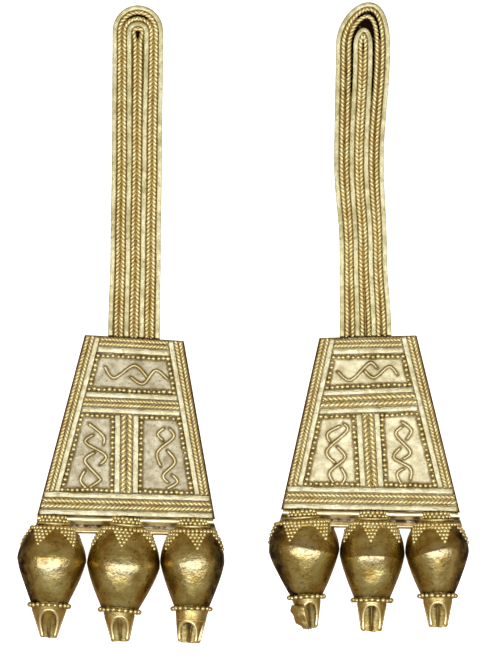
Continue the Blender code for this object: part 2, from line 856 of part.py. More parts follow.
def turned(bm, profile, sides, depth_ratio, top_slope, top_lift=0.0):
    """A turned body hanging down -Y from the origin, a little deeper or flatter than round. Its top
    is cut to the slope of the plate's foot."""
    rings = []
    for index, (distance, radius) in enumerate(profile):
        ring = []
        for i in range(sides):
            angle = 2 * math.pi * i / sides
            x = radius * math.cos(angle)
            y = -distance + (math.tan(top_slope) * x + top_lift if index == 0 else 0.0)
            ring.append(bm.verts.new((x, y, radius * depth_ratio * math.sin(angle))))
        rings.append(ring)
    skin(bm, rings)


def girth_points(earring):
    """Centre of each fruit's widest girth. The fruits stand side by side and almost touch."""
    middle_x = earring.bottom_shift + earring.fruit_row_shift
    left, middle, right = earring.fruits
    xs = [
        middle_x - left.radius - middle.radius - JOINT_GAP,
        middle_x,
        middle_x + middle.radius + right.radius + JOINT_GAP,
    ]
    points = []
    for fruit, x in zip(earring.fruits, xs):
        lean = math.radians(fruit.lean_deg)
        neck_x = x - math.sin(lean) * fruit.drop
        neck_y = bottom_edge_y(earring, neck_x) - JOINT_GAP
        points.append(Vector((x, neck_y - math.cos(lean) * fruit.drop)))
    return points


def resting_line(earring):
    """The ground as the earring sees it: its slope, and the strap tip's back where it touches."""
    name, _, _, packed = list(hairpins())[-1]
    rise = packed + earring.crown_rise[name]
    tip = Vector((earring.spring_height + rise, -(RAIL_DEPTH / 2 + JOINT_GAP + BACKING_THICKNESS)))
    girth_y = girth_points(earring)[1].y
    height = FRUIT_DEPTH_RADIUS - REST_FLAT_DEPTH
    reach = tip.x - girth_y
    slope = math.asin(height / math.hypot(reach, tip.y)) - math.atan2(-tip.y, reach)
    return slope, tip


def height_above_ground(earring, y):
    slope, tip = resting_line(earring)
    return (tip.x - y) * math.sin(slope) - tip.y * math.cos(slope)


def build_fruit(earring, fruit, girth, parent, material):
    """The hollow fruit as a closed body, with a flat spot where its back rests."""
    lean = math.radians(fruit.lean_deg)
    depth = height_above_ground(earring, girth.y) + REST_FLAT_DEPTH
    neck = girth + Vector((-math.sin(lean), math.cos(lean))) * fruit.drop
    place = Matrix.Translation((neck.x, neck.y, 0)) @ Matrix.Rotation(lean, 4, "Z")
    ratio = depth / fruit.radius
    top_slope = math.radians(earring.bottom_slope_deg) - lean
    bm = bmesh.new()
    turned(bm, fruit_profile(fruit), FRUIT_SIDES, ratio, top_slope)
    slope, tip = resting_line(earring)
    into_fruit = place.inverted()
    point = into_fruit @ Vector((0, tip.x, tip.y))
    normal = into_fruit.to_3x3() @ Vector((0, -math.sin(slope), math.cos(slope)))
    parts = list(bm.verts) + list(bm.edges) + list(bm.faces)
    cut = bmesh.ops.bisect_plane(bm, geom=parts, plane_co=point, plane_no=normal, clear_inner=True)
    rim = [e for e in cut["geom_cut"] if isinstance(e, bmesh.types.BMEdge)]
    bmesh.ops.edgeloop_fill(bm, edges=rim)
    body = finish_mesh(f"{earring.name}_{fruit.name}_fruit", bm, parent, material)
    body.matrix_local = place
    body.data.shade_smooth()
    body.data.set_sharp_from_angle(angle=math.radians(35))

    bm = bmesh.new()
    turned(bm, fruit_profile(fruit, grow=JOINT_GAP), FRUIT_SIDES, ratio, top_slope, 2 * JOINT_GAP)
    clearance = build_tool(f"{earring.name}_{fruit.name}_clearance", bm, parent, material)
    clearance.matrix_local = place
    return neck, clearance


def crown_columns():
    """Turns round the crown, from the front, with how far a notch has opened there."""
    columns = []
    for centre, half in (
        (0, FRONT_NOTCH_HALF_DEG),
        (SIDE_NOTCH_TURN_DEG, SIDE_NOTCH_HALF_DEG),
        (-SIDE_NOTCH_TURN_DEG, SIDE_NOTCH_HALF_DEG),
    ):
        for step in (-1, -0.85, -0.5, 0, 0.5, 0.85, 1):
            columns.append(((centre + half * step) % 360, math.sqrt(1 - step**2)))
    for turn in (155, 180, 205):
        columns.append((turn, 0.0))
    return sorted(columns)


def build_crown(earring, fruit, neck, parent, material):
    """An open, tapering tube with a closed top, cut by three round-headed notches into points."""
    length = fruit.crown_length
    notch_height = length - CROWN_CEILING - fruit.crown_band
    bm = bmesh.new()
    rings = {key: [] for key in ("outer_top", "outer_low", "inner_top", "inner_low")}
    for turn, opening in reversed(crown_columns()):
        angle = math.radians(turn + fruit.crown_turn_deg)
        low = length - notch_height * opening
        for key, distance, wall in (
            ("outer_top", 0.0, 0.0),
            ("outer_low", low, 0.0),
            ("inner_top", CROWN_CEILING, CROWN_WALL),
            ("inner_low", low, CROWN_WALL),
        ):
            taper = distance / length
            outer = fruit.crown_top_radius + (fruit.crown_tip_radius - fruit.crown_top_radius) * taper
            radius = outer - wall
            rings[key].append(bm.verts.new((radius * math.sin(angle), -distance, radius * math.cos(angle))))
    skin(bm, [rings["outer_top"], rings["outer_low"], rings["inner_low"], rings["inner_top"]])
    crown = finish_mesh(f"{earring.name}_{fruit.name}_crown", bm, parent, material)
    fruit_lean = math.radians(fruit.lean_deg)
    hang = fruit.drop + fruit.taper + COLLAR_THICKNESS
    foot = neck + Vector((math.sin(fruit_lean), -math.cos(fruit_lean))) * hang
    lean = math.radians(fruit.crown_lean_deg)
    clearance = JOINT_GAP + fruit.crown_top_radius * abs(math.sin(lean - fruit_lean))
    seat = foot - Vector((0, clearance))
    crown.matrix_local = Matrix.Translation((seat.x, seat.y, 0)) @ Matrix.Rotation(lean, 4, "Z")
    crown.data.shade_smooth()
    crown.data.set_sharp_from_angle(angle=math.radians(35))


# One earring, and the pair


def build_earring(earring, materials):
    lay = bpy.data.objects.new(f"{earring.name}_earring", None)
    bpy.context.scene.collection.objects.link(lay)
    for name, width, is_round, packed in hairpins():
        build_hairpin(earring, name, width, is_round, packed, lay, materials["wire"])
    build_backing(earring, lay, materials["sheet"])
    clearances = []
    for fruit, girth in zip(earring.fruits, girth_points(earring)):
        neck, clearance = build_fruit(earring, fruit, girth, lay, materials["fruit"])
        build_crown(earring, fruit, neck, lay, materials["fruit"])
        clearances.append(clearance)
    build_plate(earring, clearances, lay, materials["sheet"])
    build_bands(earring, lay, materials["wire"])
    slope, _ = resting_line(earring)
    lay.rotation_euler.x = -slope
    lay.location.z = height_above_ground(earring, 0.0)
    return lay


def extent(lays):
    """Lowest and highest corner of what hangs on these empties, as placed."""
    bpy.context.view_layer.update()
    graph = bpy.context.evaluated_depsgraph_get()
    low = Vector((math.inf,) * 3)
    high = Vector((-math.inf,) * 3)
    for lay in lays:
        for piece in lay.children:
            if piece.hide_render:
                continue
            shown = piece.evaluated_get(graph)
            mesh = shown.to_mesh()
            for vertex in mesh.vertices:
                point = shown.matrix_world @ vertex.co
                low = Vector(map(min, low, point))
                high = Vector(map(max, high, point))
            shown.to_mesh_clear()
    return low, high


def main():
    clear_scene()
    materials = {
        "sheet": gold("sheet_gold", (0.80, 0.62, 0.25), 0.28),
        "wire": gold("wire_gold", (0.78, 0.60, 0.24), 0.30),
        "fruit": gold("fruit_gold", (0.66, 0.46, 0.15), 0.26),
    }
    left = build_earring(LEFT, materials)
    right = build_earring(RIGHT, materials)
    _, left_high = extent([left])
    right_low, _ = extent([right])
    right.location.x += left_high.x + PAIR_CLEARANCE - right_low.x
    right.location.y += PAIR_RISE
    low, high = extent([left, right])
    middle = (low + high) / 2
    for lay in (left, right):
        lay.location -= Vector((middle.x, middle.y, low.z))
    bpy.context.view_layer.update()


main()
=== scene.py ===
"""Dresses the pair of ancient gold ear pendants: twisted wires, beads, filigree, sheet and fruits.

One earring is drawn in its own frame: +X to the right, +Y up the strap, +Z out of the decorated
face, with the origin in the middle of the plate's top edge. It is then laid where its solids lie.
"""

import math
import random
from dataclasses import dataclass

import bmesh
import bpy
import numpy as np
from mathutils import Matrix, Vector, noise


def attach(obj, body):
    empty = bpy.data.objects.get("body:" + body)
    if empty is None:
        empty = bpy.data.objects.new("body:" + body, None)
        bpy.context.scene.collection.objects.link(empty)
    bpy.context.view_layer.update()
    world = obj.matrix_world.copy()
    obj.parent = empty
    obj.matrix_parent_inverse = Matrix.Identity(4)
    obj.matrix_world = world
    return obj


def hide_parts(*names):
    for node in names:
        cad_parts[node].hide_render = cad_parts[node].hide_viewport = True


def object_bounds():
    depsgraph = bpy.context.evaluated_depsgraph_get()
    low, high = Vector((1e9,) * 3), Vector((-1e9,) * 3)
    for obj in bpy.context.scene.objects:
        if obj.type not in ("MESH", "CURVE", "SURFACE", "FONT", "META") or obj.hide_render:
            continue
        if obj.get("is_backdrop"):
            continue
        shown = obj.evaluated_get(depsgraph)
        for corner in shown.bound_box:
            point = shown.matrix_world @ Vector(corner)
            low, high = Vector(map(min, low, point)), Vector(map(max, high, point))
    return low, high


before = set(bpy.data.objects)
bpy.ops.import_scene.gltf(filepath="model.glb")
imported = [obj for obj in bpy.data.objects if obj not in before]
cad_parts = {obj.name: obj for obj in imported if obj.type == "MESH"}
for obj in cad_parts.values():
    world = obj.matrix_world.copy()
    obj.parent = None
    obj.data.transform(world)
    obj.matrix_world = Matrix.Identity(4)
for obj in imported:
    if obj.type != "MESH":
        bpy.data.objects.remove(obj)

MM = 0.001
CAD_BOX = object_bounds()

# Sizes shared with the solids
JOINT_GAP = 0.04 * MM
WIRE_DIAMETER = 0.72 * MM
RAIL_WIDTH = 0.66 * MM
RAIL_DEPTH = 0.9 * MM
BACKING_THICKNESS = 0.3 * MM
CORE_EYE_REACH = 1.6 * MM
PLATE_THICKNESS = 1.8 * MM
PLATE_SPREAD = 0.35 * MM
STRIP_HEIGHT = 0.45 * MM
SIDE_STRIP_WIDTH = 0.8 * MM
TOP_STRIP_WIDTH = 0.95 * MM
CROSS_STRIP_WIDTH = 0.88 * MM
POST_STRIP_WIDTH = 0.88 * MM
BRAID_WIDTH = 2 * WIRE_DIAMETER + JOINT_GAP
EDGE_MARGIN = 0.1 * MM
BEAD_DIAMETER = 0.72 * MM
FILIGREE_DIAMETER = 0.42 * MM
MOULDING_DROP = 2.75 * MM
MOULDING_FLARE = 0.7 * MM
MOULDING_TENON = 0.3 * MM
BEAD_RISE = 0.35 * MM
COVE_HEIGHT = 0.35 * MM
LIP_HEIGHT = 0.85 * MM
NECK_RADIUS = 2.3 * MM
NECK_LENGTH = 1.0 * MM
COLLAR_THICKNESS = 0.7 * MM
REST_FLAT_DEPTH = 0.15 * MM
CROWN_WALL = 0.35 * MM
CROWN_CEILING = 0.35 * MM
FRONT_NOTCH_HALF_DEG = 56
SIDE_NOTCH_TURN_DEG = 88
SIDE_NOTCH_HALF_DEG = 12

# Finer sizes, drawn only here
TWIST_PITCH = 1.15 * MM
TWIST_STEPS = 12
STRAND_SIDES = 7
STRAND_RADIUS_SHARE = 0.3
STRAND_REACH_SHARE = 0.2
WIRE_SIDES = 10
THIN_WIRE_SIDES = 8
HAND_WOBBLE = 0.02 * MM
SEAM_RADIUS = 0.21 * MM
CORE_SEAM_RADIUS = 0.2 * MM
SEAM_SHADE_AND_DIRT = 0.45
WIDEST_SEAM = 0.26 * MM
WIDEST_CORE_SEAM = 0.5 * MM
PLATE_BEVEL = 0.18 * MM
PLATE_COLUMNS = 120
PLATE_ROWS = 135
DIRT_REACH = 0.22 * MM
MOULDING_STATIONS = 60
BORDER_BEAD_PITCH = 0.82 * MM
FRUIT_BEAD_DIAMETER = 0.7 * MM
FRUIT_BEAD_PITCH = 0.69 * MM
COLLAR_BEAD_DIAMETER = 0.78 * MM
COLLAR_BEAD_PITCH = 0.92 * MM
BEAD_JITTER = 0.05 * MM
TRIANGLES_AROUND = 5
TRIANGLE_ROWS = 5
FRUIT_SIDES = 120
FRUIT_ROWS = 130
SLOPE_STEP = 0.05 * MM
CROWN_ROWS = 14
CROWN_WEAR = 0.22 * MM
CROWN_FILL = 0.88
CROWN_BAND_WIRE = 0.1 * MM
RIM_WIRE_RADIUS = 0.25 * MM
FLAP_ROWS = 22
FLAP_COLUMNS = 18
FLAP_THICKNESS = 0.16 * MM

# Shares of the strap's height, and turns from a fruit's front, at which lengths are given below
STATION_SHARES = (0.0, 0.3, 0.6, 1.0)
CREST_TURNS_DEG = (-75, -22, 22, 75)

# Middle of each notch in a crown, from the front, and half its width, in degrees
NOTCHES = ((0, FRONT_NOTCH_HALF_DEG), (SIDE_NOTCH_TURN_DEG, SIDE_NOTCH_HALF_DEG),
           (-SIDE_NOTCH_TURN_DEG, SIDE_NOTCH_HALF_DEG))

# The photograph in pixels, the middle of the pair in it, and the length of one pixel
PHOTO_WIDTH, PHOTO_HEIGHT = 500, 661
PAIR_MIDDLE_X, PAIR_MIDDLE_Y = 242.94, 323.5
PIXEL = 0.16 * MM


@dataclass
class Hairpin:
    """How far one hairpin of the strap is opened, in mm at four places from the foot to the crown,
    and how far its crown rises and leans."""

    opening_mm: tuple
    rise: float
    lean: float = 0.0


@dataclass
class Fruit:
    """One hanging fruit, its crown, where its bead triangles fall and how it is dented."""

    name: str
    radius: float
    drop: float
    roundness: float
    taper: float
    collar_radius: float
    lean_deg: float
    crown_top_radius: float
    crown_tip_radius: float
    crown_length: float
    crown_band: float
    crown_lean_deg: float
    crown_turn_deg: float
    triangle_turn_deg: float
    # Dents as (turn from the front in degrees, distance below the neck, width, depth), in mm
    dents: list
    # How far the sheet above the crest leans back from it, and how far below the widest girth the
    # crest runs at four turns: far left, left, right and far right
    crest: float
    crest_line: tuple
    # The flank that is painted black as shade and dark reflection: -1 for the left one, 1 for the right one
    shaded_flank: int
    torn: bool = False


@dataclass
class Earring:
    """The sizes in which one earring differs from its pair."""

    name: str
    place: tuple
    tilt_deg: float
    top_width: float
    top_slope_deg: float
    bottom_width: float
    bottom_slope_deg: float
    plate_height: float
    bottom_shift: float
    top_band: float
    middle_band: float
    middle_tilt_deg: float
    post_share_top: float
    post_share_bottom: float
    middle_braid: float
    bottom_braid: float
    post_braid: float
    strap_foot: float
    strap_line_mm: tuple
    spring_height: float
    core_eye: float
    hairpin_shapes: dict
    # Which way the strands of the outermost wire climb on the left leg
    strand_lean: int
    fruit_row_shift: float
    fruits: list
    filigree: list


def row_of(kind, names, lengths_mm, others):
    """Things of one kind, from left to right, made from rows of their sizes."""
    made = []
    for place, name in enumerate(names):
        sizes = {size: row[place] * MM for size, row in lengths_mm.items()}
        sizes.update({size: row[place] for size, row in others.items()})
        made.append(kind(name=name, **sizes))
    return made


# The hairpins of each strap, from the middle outward
LEFT_HAIRPINS = {
    "core_wire": Hairpin((0.03, 0.03, 0.03, 0.03), rise=0.07 * MM),
    "inner_rail": Hairpin((0.10, 0.10, 0.10, 0.28), rise=0.10 * MM),
    "inner_wire": Hairpin((0.20, 0.18, 0.18, 0.30), rise=0.21 * MM),
    "outer_wire": Hairpin((0.30, 0.24, 0.24, 0.33), rise=0.48 * MM),
    "outer_rail": Hairpin((0.45, 0.33, 0.33, 0.37), rise=0.51 * MM),
}

RIGHT_HAIRPINS = {
    "core_wire": Hairpin((0.18, 0.06, 0.00, 0.03), rise=1.56 * MM, lean=0.05 * MM),
    "inner_rail": Hairpin((0.19, 0.07, 0.04, 0.08), rise=1.66 * MM, lean=0.15 * MM),
    "inner_wire": Hairpin((0.20, 0.08, 0.08, 0.38), rise=3.06 * MM, lean=0.65 * MM),
    "outer_wire": Hairpin((0.40, 0.09, 0.24, 0.60), rise=3.50 * MM, lean=0.9 * MM),
    "outer_rail": Hairpin((0.45, 0.10, 0.29, 0.68), rise=3.52 * MM, lean=0.95 * MM),
}

# The fruits of each earring: first their lengths in mm, then the rest
LEFT_FRUITS = row_of(
    Fruit, ("left", "middle", "right"),
    dict(
        radius=(5.55, 5.85, 5.16), drop=(7.0, 7.7, 6.9), taper=(7.0, 6.9, 7.1),
        collar_radius=(3.0, 3.0, 2.85), crown_top_radius=(2.8, 2.45, 2.6),
        crown_tip_radius=(1.2, 1.35, 1.7), crown_length=(4.9, 4.45, 5.05),
        crown_band=(0.1, 0.15, 1.35), crest=(0.14, 0.22, 0.22),
    ),
    dict(
        roundness=(1.65, 1.85, 1.9), lean_deg=(-3.0, -4.5, -0.8), crown_lean_deg=(-1.0, 2.0, -5.0),
        crown_turn_deg=(0, 0, -15), triangle_turn_deg=(-28, -5, 10),
        crest_line=((1.0, 1.3, 1.2, 0.9), (0.8, 0.4, 0.6, 0.7), (0.8, 0.4, 0.4, 0.8)),
        shaded_flank=(-1, 0, 1),
        dents=(
            [(-55, 10.5, 2.2, 0.25), (25, 9.0, 1.6, 0.12)],
            [(-10, 9.5, 1.6, 0.12), (40, 10.5, 1.8, 0.15)],
            [(15, 8.6, 1.8, 0.14), (-50, 10.0, 2.0, 0.2)],
        ),
    ),
)

RIGHT_FRUITS = row_of(
    Fruit, ("left", "middle", "right"),
    dict(
        radius=(5.65, 5.2, 5.1), drop=(6.6, 7.0, 6.4), taper=(7.0, 6.9, 6.6),
        collar_radius=(2.6, 2.9, 2.75), crown_top_radius=(2.25, 2.35, 2.4),
        crown_tip_radius=(1.1, 1.6, 1.4), crown_length=(4.7, 4.7, 4.8), crown_band=(0.1, 0.1, 0.5),
        crest=(1.0, 1.05, 1.0),
    ),
    dict(
        roundness=(2.1, 1.95, 1.9), lean_deg=(3.0, -0.5, 0.8), crown_lean_deg=(7.0, -1.5, 1.0),
        crown_turn_deg=(14, 0, 0), triangle_turn_deg=(-26, -4, 16),
        crest_line=((0.0, -1.0, 0.1, 0.9), (1.0, 0.3, 0.3, 1.1), (1.5, 0.2, -0.7, 0.2)),
        shaded_flank=(-1, 0, 1), torn=(True, False, False),
        dents=(
            [(-45, 9.5, 2.4, 0.25), (20, 10.5, 1.6, 0.1)],
            [(0, 9.6, 1.5, 0.28), (35, 8.6, 1.2, 0.1)],
            [(-30, 9.0, 1.8, 0.15), (30, 8.4, 1.4, 0.12)],
        ),
    ),
)

# The filigree of each plate: the turning points of every wire on the upper, the left and the right
# panel, as shares of the panel's width and height from its top left corner
LEFT_FILIGREE = [
    [
        [(0.121, 0.312), (0.271, 0.646), (0.516, 0.253), (0.689, 0.584)],
        [(0.474, 0.589), (0.632, 0.782), (0.802, 0.362), (0.950, 0.626)],
    ],
    [
        [(0.255, 0.109), (0.740, 0.269), (0.759, 0.386)],
        [(0.454, 0.257), (0.272, 0.361), (0.757, 0.496), (0.848, 0.571), (0.717, 0.657)],
        [(0.556, 0.491), (0.348, 0.612), (0.711, 0.825), (0.732, 0.876), (0.529, 0.971)],
        [(0.387, 0.737), (0.326, 0.873), (0.478, 0.980)],
    ],
    [
        [(0.587, 0.130), (0.414, 0.218), (0.530, 0.309)],
        [(0.703, 0.136), (0.793, 0.253), (0.375, 0.464), (0.433, 0.658)],
        [(0.606, 0.434), (0.748, 0.592), (0.470, 0.775), (0.565, 0.883)],
        [(0.655, 0.763), (0.746, 0.862), (0.520, 0.960)],
    ],
]

RIGHT_FILIGREE = [
    [
        [(0.092, 0.469), (0.276, 0.777), (0.511, 0.221), (0.618, 0.408)],
        [(0.444, 0.456), (0.571, 0.725), (0.778, 0.359), (0.874, 0.652)],
    ],
    [
        [(0.630, 0.140), (0.291, 0.248), (0.381, 0.388)],
        [(0.698, 0.104), (0.800, 0.215), (0.326, 0.508), (0.546, 0.693)],
        [(0.555, 0.444), (0.749, 0.610), (0.440, 0.822), (0.542, 0.988)],
        [(0.669, 0.757), (0.760, 0.895), (0.664, 1.024)],
    ],
    [
        [(0.521, 0.170), (0.330, 0.283), (0.618, 0.523), (0.414, 0.638)],
        [(0.525, 0.099), (0.747, 0.225), (0.577, 0.356)],
        [(0.394, 0.470), (0.219, 0.612), (0.552, 0.761), (0.510, 0.930)],
        [(0.414, 0.762), (0.249, 0.843), (0.315, 0.994)],
    ],
]

# The pair: first the lengths in mm, then the rest
EARRINGS = row_of(
    Earring, ("left", "right"),
    dict(
        top_width=(15.6, 15.3), bottom_width=(28.2, 28.35), plate_height=(28.7, 27.9),
        bottom_shift=(-1.3, 0.4), top_band=(0.15, 0.3), middle_band=(8.9, 8.35),
        middle_braid=(1.48, 2.0), bottom_braid=(1.8, 1.8), post_braid=(1.95, 1.9),
        strap_foot=(-0.05, -0.38), spring_height=(49.2, 46.5), core_eye=(0.27, 0.05),
        fruit_row_shift=(-0.45, 0.27),
    ),
    dict(
        place=((-17.3994 * MM, -2.3331 * MM, 3.4339 * MM), (20.0223 * MM, -2.1331 * MM, 3.4844 * MM)),
        tilt_deg=(-2.85829, -2.89602), top_slope_deg=(-3.5, 1.5), bottom_slope_deg=(-1.3, -1.0),
        middle_tilt_deg=(0.0, 2.4), post_share_top=(0.471, 0.492), post_share_bottom=(0.494, 0.51),
        strap_line_mm=((0.0, 0.26, 0.46, 0.6), (0.0, -0.38, -1.05, -0.4)),
        hairpin_shapes=(LEFT_HAIRPINS, RIGHT_HAIRPINS), strand_lean=(1, -1),
        fruits=(LEFT_FRUITS, RIGHT_FRUITS), filigree=(LEFT_FILIGREE, RIGHT_FILIGREE),
    ),
)


# Metalwork: faces gathered from many small shapes into one soldered piece


class Metalwork:
    """Gathers shapes. Each of their points knows how much painted shade and dirt darken it, from 0 to
    1 (below 0 it paints a highlight), and where it lies along, across and through the strip or sheet that it
    was made from."""

    def __init__(self, earring):
        self.earring = earring
        self.points = []
        self.faces = []
        self.painted_light_and_dirt = []
        self.run = []
        self.count = 0

    def add(self, points, faces, painted_light_and_dirt, run=None):
        self.points.append(np.asarray(points, float).reshape(-1, 3))
        self.painted_light_and_dirt.append(np.broadcast_to(np.asarray(painted_light_and_dirt, float), (len(self.points[-1]),)))
        self.run.append(self.points[-1] if run is None else np.asarray(run, float).reshape(-1, 3))
        for face in faces:
            self.faces.append([i + self.count for i in face])
        self.count += len(self.points[-1])

    def make(self, name, finish, smooth_angle_deg=None, welded=False):
        """One piece of all the shapes, laid where the earring lies."""
        mesh = bpy.data.meshes.new(f"{self.earring.name}_{name}")
        mesh.from_pydata(np.concatenate(self.points).tolist(), [], self.faces)
        layer = mesh.attributes.new("painted_light_and_dirt", "FLOAT", "POINT")
        layer.data.foreach_set("value", np.concatenate(self.painted_light_and_dirt).astype(np.float32))
        layer = mesh.attributes.new("run", "FLOAT_VECTOR", "POINT")
        layer.data.foreach_set("vector", np.concatenate(self.run).astype(np.float32).reshape(-1))
        mesh.materials.append(finish)
        mesh.shade_smooth()
        if smooth_angle_deg is not None:
            mesh.set_sharp_from_angle(angle=math.radians(smooth_angle_deg))
        tilt = Matrix.Rotation(math.radians(self.earring.tilt_deg), 4, "X")
        mesh.transform(Matrix.Translation(self.earring.place) @ tilt)
        if welded:
            weld(mesh)
        piece = put_in_scene(mesh.name, mesh)
        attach(piece, "root")
        return piece

    def dress(self, node, finish, smooth_angle_deg=None, welded=False):
        """One piece that stands for the plain solid of this name."""
        piece = self.make(f"{node}_dressed", finish, smooth_angle_deg, welded)
        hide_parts(f"{self.earring.name}_{node}")


def put_in_scene(name, data):
    """An object that shows the mesh, light or camera."""
    thing = bpy.data.objects.new(name, data)
    bpy.context.scene.collection.objects.link(thing)
    return thing


def weld(mesh):
    """Joins the edges of shapes that meet, and turns the faces outward."""
    bm = bmesh.new()
    bm.from_mesh(mesh)
    bmesh.ops.remove_doubles(bm, verts=bm.verts, dist=0.002 * MM)
    bmesh.ops.recalc_face_normals(bm, faces=bm.faces)
    bm.to_mesh(mesh)
    bm.free()


def grid_faces(rows, columns, close_columns=True, close_rows=False):
    """Four-sided faces over a grid of points, row after row."""
    faces = []
    for r in range(rows if close_rows else rows - 1):
        for c in range(columns if close_columns else columns - 1):
            a, b = r * columns + c, r * columns + (c + 1) % columns
            s = (r + 1) % rows * columns
            faces.append((a, b, s + (c + 1) % columns, s + c))
    return faces


def capped_grid_faces(rows, columns):
    """A tube's faces and its two flat ends."""
    faces = grid_faces(rows, columns)
    faces.append(tuple(range(columns))[::-1])
    faces.append(tuple((rows - 1) * columns + c for c in range(columns)))
    return faces


def sheet_faces(rows, columns, turned=False):
    """An open sheet's faces, turned over where it is seen from its other side."""
    faces = grid_faces(rows, columns, close_columns=False)
    return [face[::-1] for face in faces] if turned else faces


def close_sheets(work, sheets, dirt_and_shade):
    """Walls between the edges of two or more grids of points that lie one behind another."""
    rims = np.array([
        np.concatenate([grid[0], grid[1:, -1], grid[-1, -2::-1], grid[-2:0:-1, 0]]) for grid in sheets
    ])
    work.add(rims, grid_faces(len(sheets), rims.shape[1]), dirt_and_shade)


def directions(line):
    """Unit direction of travel at each point of a line."""
    ahead = np.gradient(line, axis=0)
    return ahead / np.linalg.norm(ahead, axis=1, keepdims=True)


def resampled(line, spacing):
    """The same line with evenly spaced points."""
    steps = np.linalg.norm(np.diff(line, axis=0), axis=1)
    along = np.concatenate([[0.0], np.cumsum(steps)])
    count = max(3, int(round(along[-1] / spacing)) + 1)
    wanted = np.linspace(0.0, along[-1], count)
    return np.stack([np.interp(wanted, along, line[:, i]) for i in range(line.shape[1])], axis=1)


def smooth_line(turns, steps):
    """A rounded line through the turning points."""
    line = [turns[0]]
    padded = np.array([turns[0]] + list(turns) + [turns[-1]], float)
    for a, b, c, d in zip(padded, padded[1:], padded[2:], padded[3:]):
        for i in range(1, steps + 1):
            t = i / steps
            cubic = 2 * b + (c - a) * t + (2 * a - 5 * b + 4 * c - d) * t**2
            line.append(0.5 * (cubic + (3 * b - a - 3 * c + d) * t**3))
    return np.array(line)


def at_height(line, height):
    """A flat line lifted to a height above the middle of the plate."""
    return np.column_stack([line, np.full(len(line), height)])


def frame_along(line):
    """Unit directions along a line, level across it and up from it, at each of its points."""
    way = directions(line)
    across = np.column_stack([way[:, 1], -way[:, 0], np.zeros(len(line))])
    across /= np.linalg.norm(across, axis=1, keepdims=True)
    return way, across, np.cross(across, way)


def circle(sides):
    """Angles of evenly spaced points round a circle."""
    return np.linspace(0, 2 * math.pi, sides, endpoint=False)


def tube_points(centres, outward, sideways, radius, around):
    """Rings of points round a line, each ring spanned by its two directions."""
    ring = outward[:, None, :] * np.cos(around)[None, :, None]
    ring = ring + sideways[:, None, :] * np.sin(around)[None, :, None]
    return centres[:, None, :] + ring * radius


def leaning(x, y, lean):
    """A flat offset turned anticlockwise by the lean."""
    c, s = math.cos(lean), math.sin(lean)
    return np.array([c * x - s * y, s * x + c * y])


def uneven(x, y, z):
    """A gentle unevenness, about -1 to 1, that changes over one unit of each number."""
    return noise.noise(Vector((x, y, z)))


# The plate's outline and the lines ruled on it


def along_slope(width, slope_deg, share, middle):
    slope = math.radians(slope_deg)
    return np.array(middle) + np.array([math.cos(slope), math.sin(slope)]) * width * (share - 0.5)


def side_point(earring, side, down):
    """A point on the plate's left (0) or right (1) side, that far down from its top corner."""
    top = along_slope(earring.top_width, earring.top_slope_deg, side, (0.0, 0.0))
    foot = (earring.bottom_shift, -earring.plate_height)
    bottom = along_slope(earring.bottom_width, earring.bottom_slope_deg, side, foot)
    return top + (bottom - top) * (down / earring.plate_height)


def unit(vector):
    return vector / np.linalg.norm(vector)


def plate_point(earring, downs, share=None, inset=None, from_right=False):
    """A point on a line ruled from side to side, by its share or its inset from one side."""
    left = side_point(earring, 0, downs[0])
    right = side_point(earring, 1, downs[1])
    if share is not None:
        return left + (right - left) * share
    if from_right:
        return right - unit(right - left) * inset
    return left + unit(right - left) * inset


def level(down):
    return (down, down)


def beside_middle_band(earring, down):
    """Distances down the left and right side, for a line that runs along the middle band."""
    rise = math.tan(math.radians(earring.middle_tilt_deg)) * earring.top_width / 2
    return (down + rise, down - rise)


def top_edge_y(earring, x):
    return math.tan(math.radians(earring.top_slope_deg)) * x


def bottom_edge_y(earring, x):
    slope = math.tan(math.radians(earring.bottom_slope_deg))
    return -earring.plate_height + slope * (x - earring.bottom_shift)


def frame_inset():
    return EDGE_MARGIN + BRAID_WIDTH + SIDE_STRIP_WIDTH + 2 * JOINT_GAP


def middle_band_foot(earring):
    return earring.middle_band + 2 * CROSS_STRIP_WIDTH + earring.middle_braid + 2 * JOINT_GAP


def bottom_band_top(earring):
    stack = 2 * CROSS_STRIP_WIDTH + earring.bottom_braid + 2 * JOINT_GAP
    return earring.plate_height - EDGE_MARGIN - stack


def post_corner(earring, offset, at_top):
    """A point on the post, that far sideways from its middle, at its top or bottom end."""
    if at_top:
        downs = beside_middle_band(earring, middle_band_foot(earring) + JOINT_GAP)
        share = earring.post_share_top
    else:
        downs = level(bottom_band_top(earring) - JOINT_GAP)
        share = earring.post_share_bottom
    middle = plate_point(earring, downs, share=share)
    across = side_point(earring, 1, downs[1]) - side_point(earring, 0, downs[0])
    return middle + unit(across) * offset


def cross_band(earring, inset, start, end):
    """Corners of a band that runs from side to side, between two ruled lines."""
    return (
        plate_point(earring, start, inset=inset),
        plate_point(earring, end, inset=inset),
        plate_point(earring, start, inset=inset, from_right=True),
        plate_point(earring, end, inset=inset, from_right=True),
    )


def side_band(earring, insets, downs, from_right):
    """Corners of a band that runs down one side, between two insets from it."""
    return tuple(
        plate_point(earring, level(down), inset=inset, from_right=from_right)
        for down in downs for inset in insets
    )


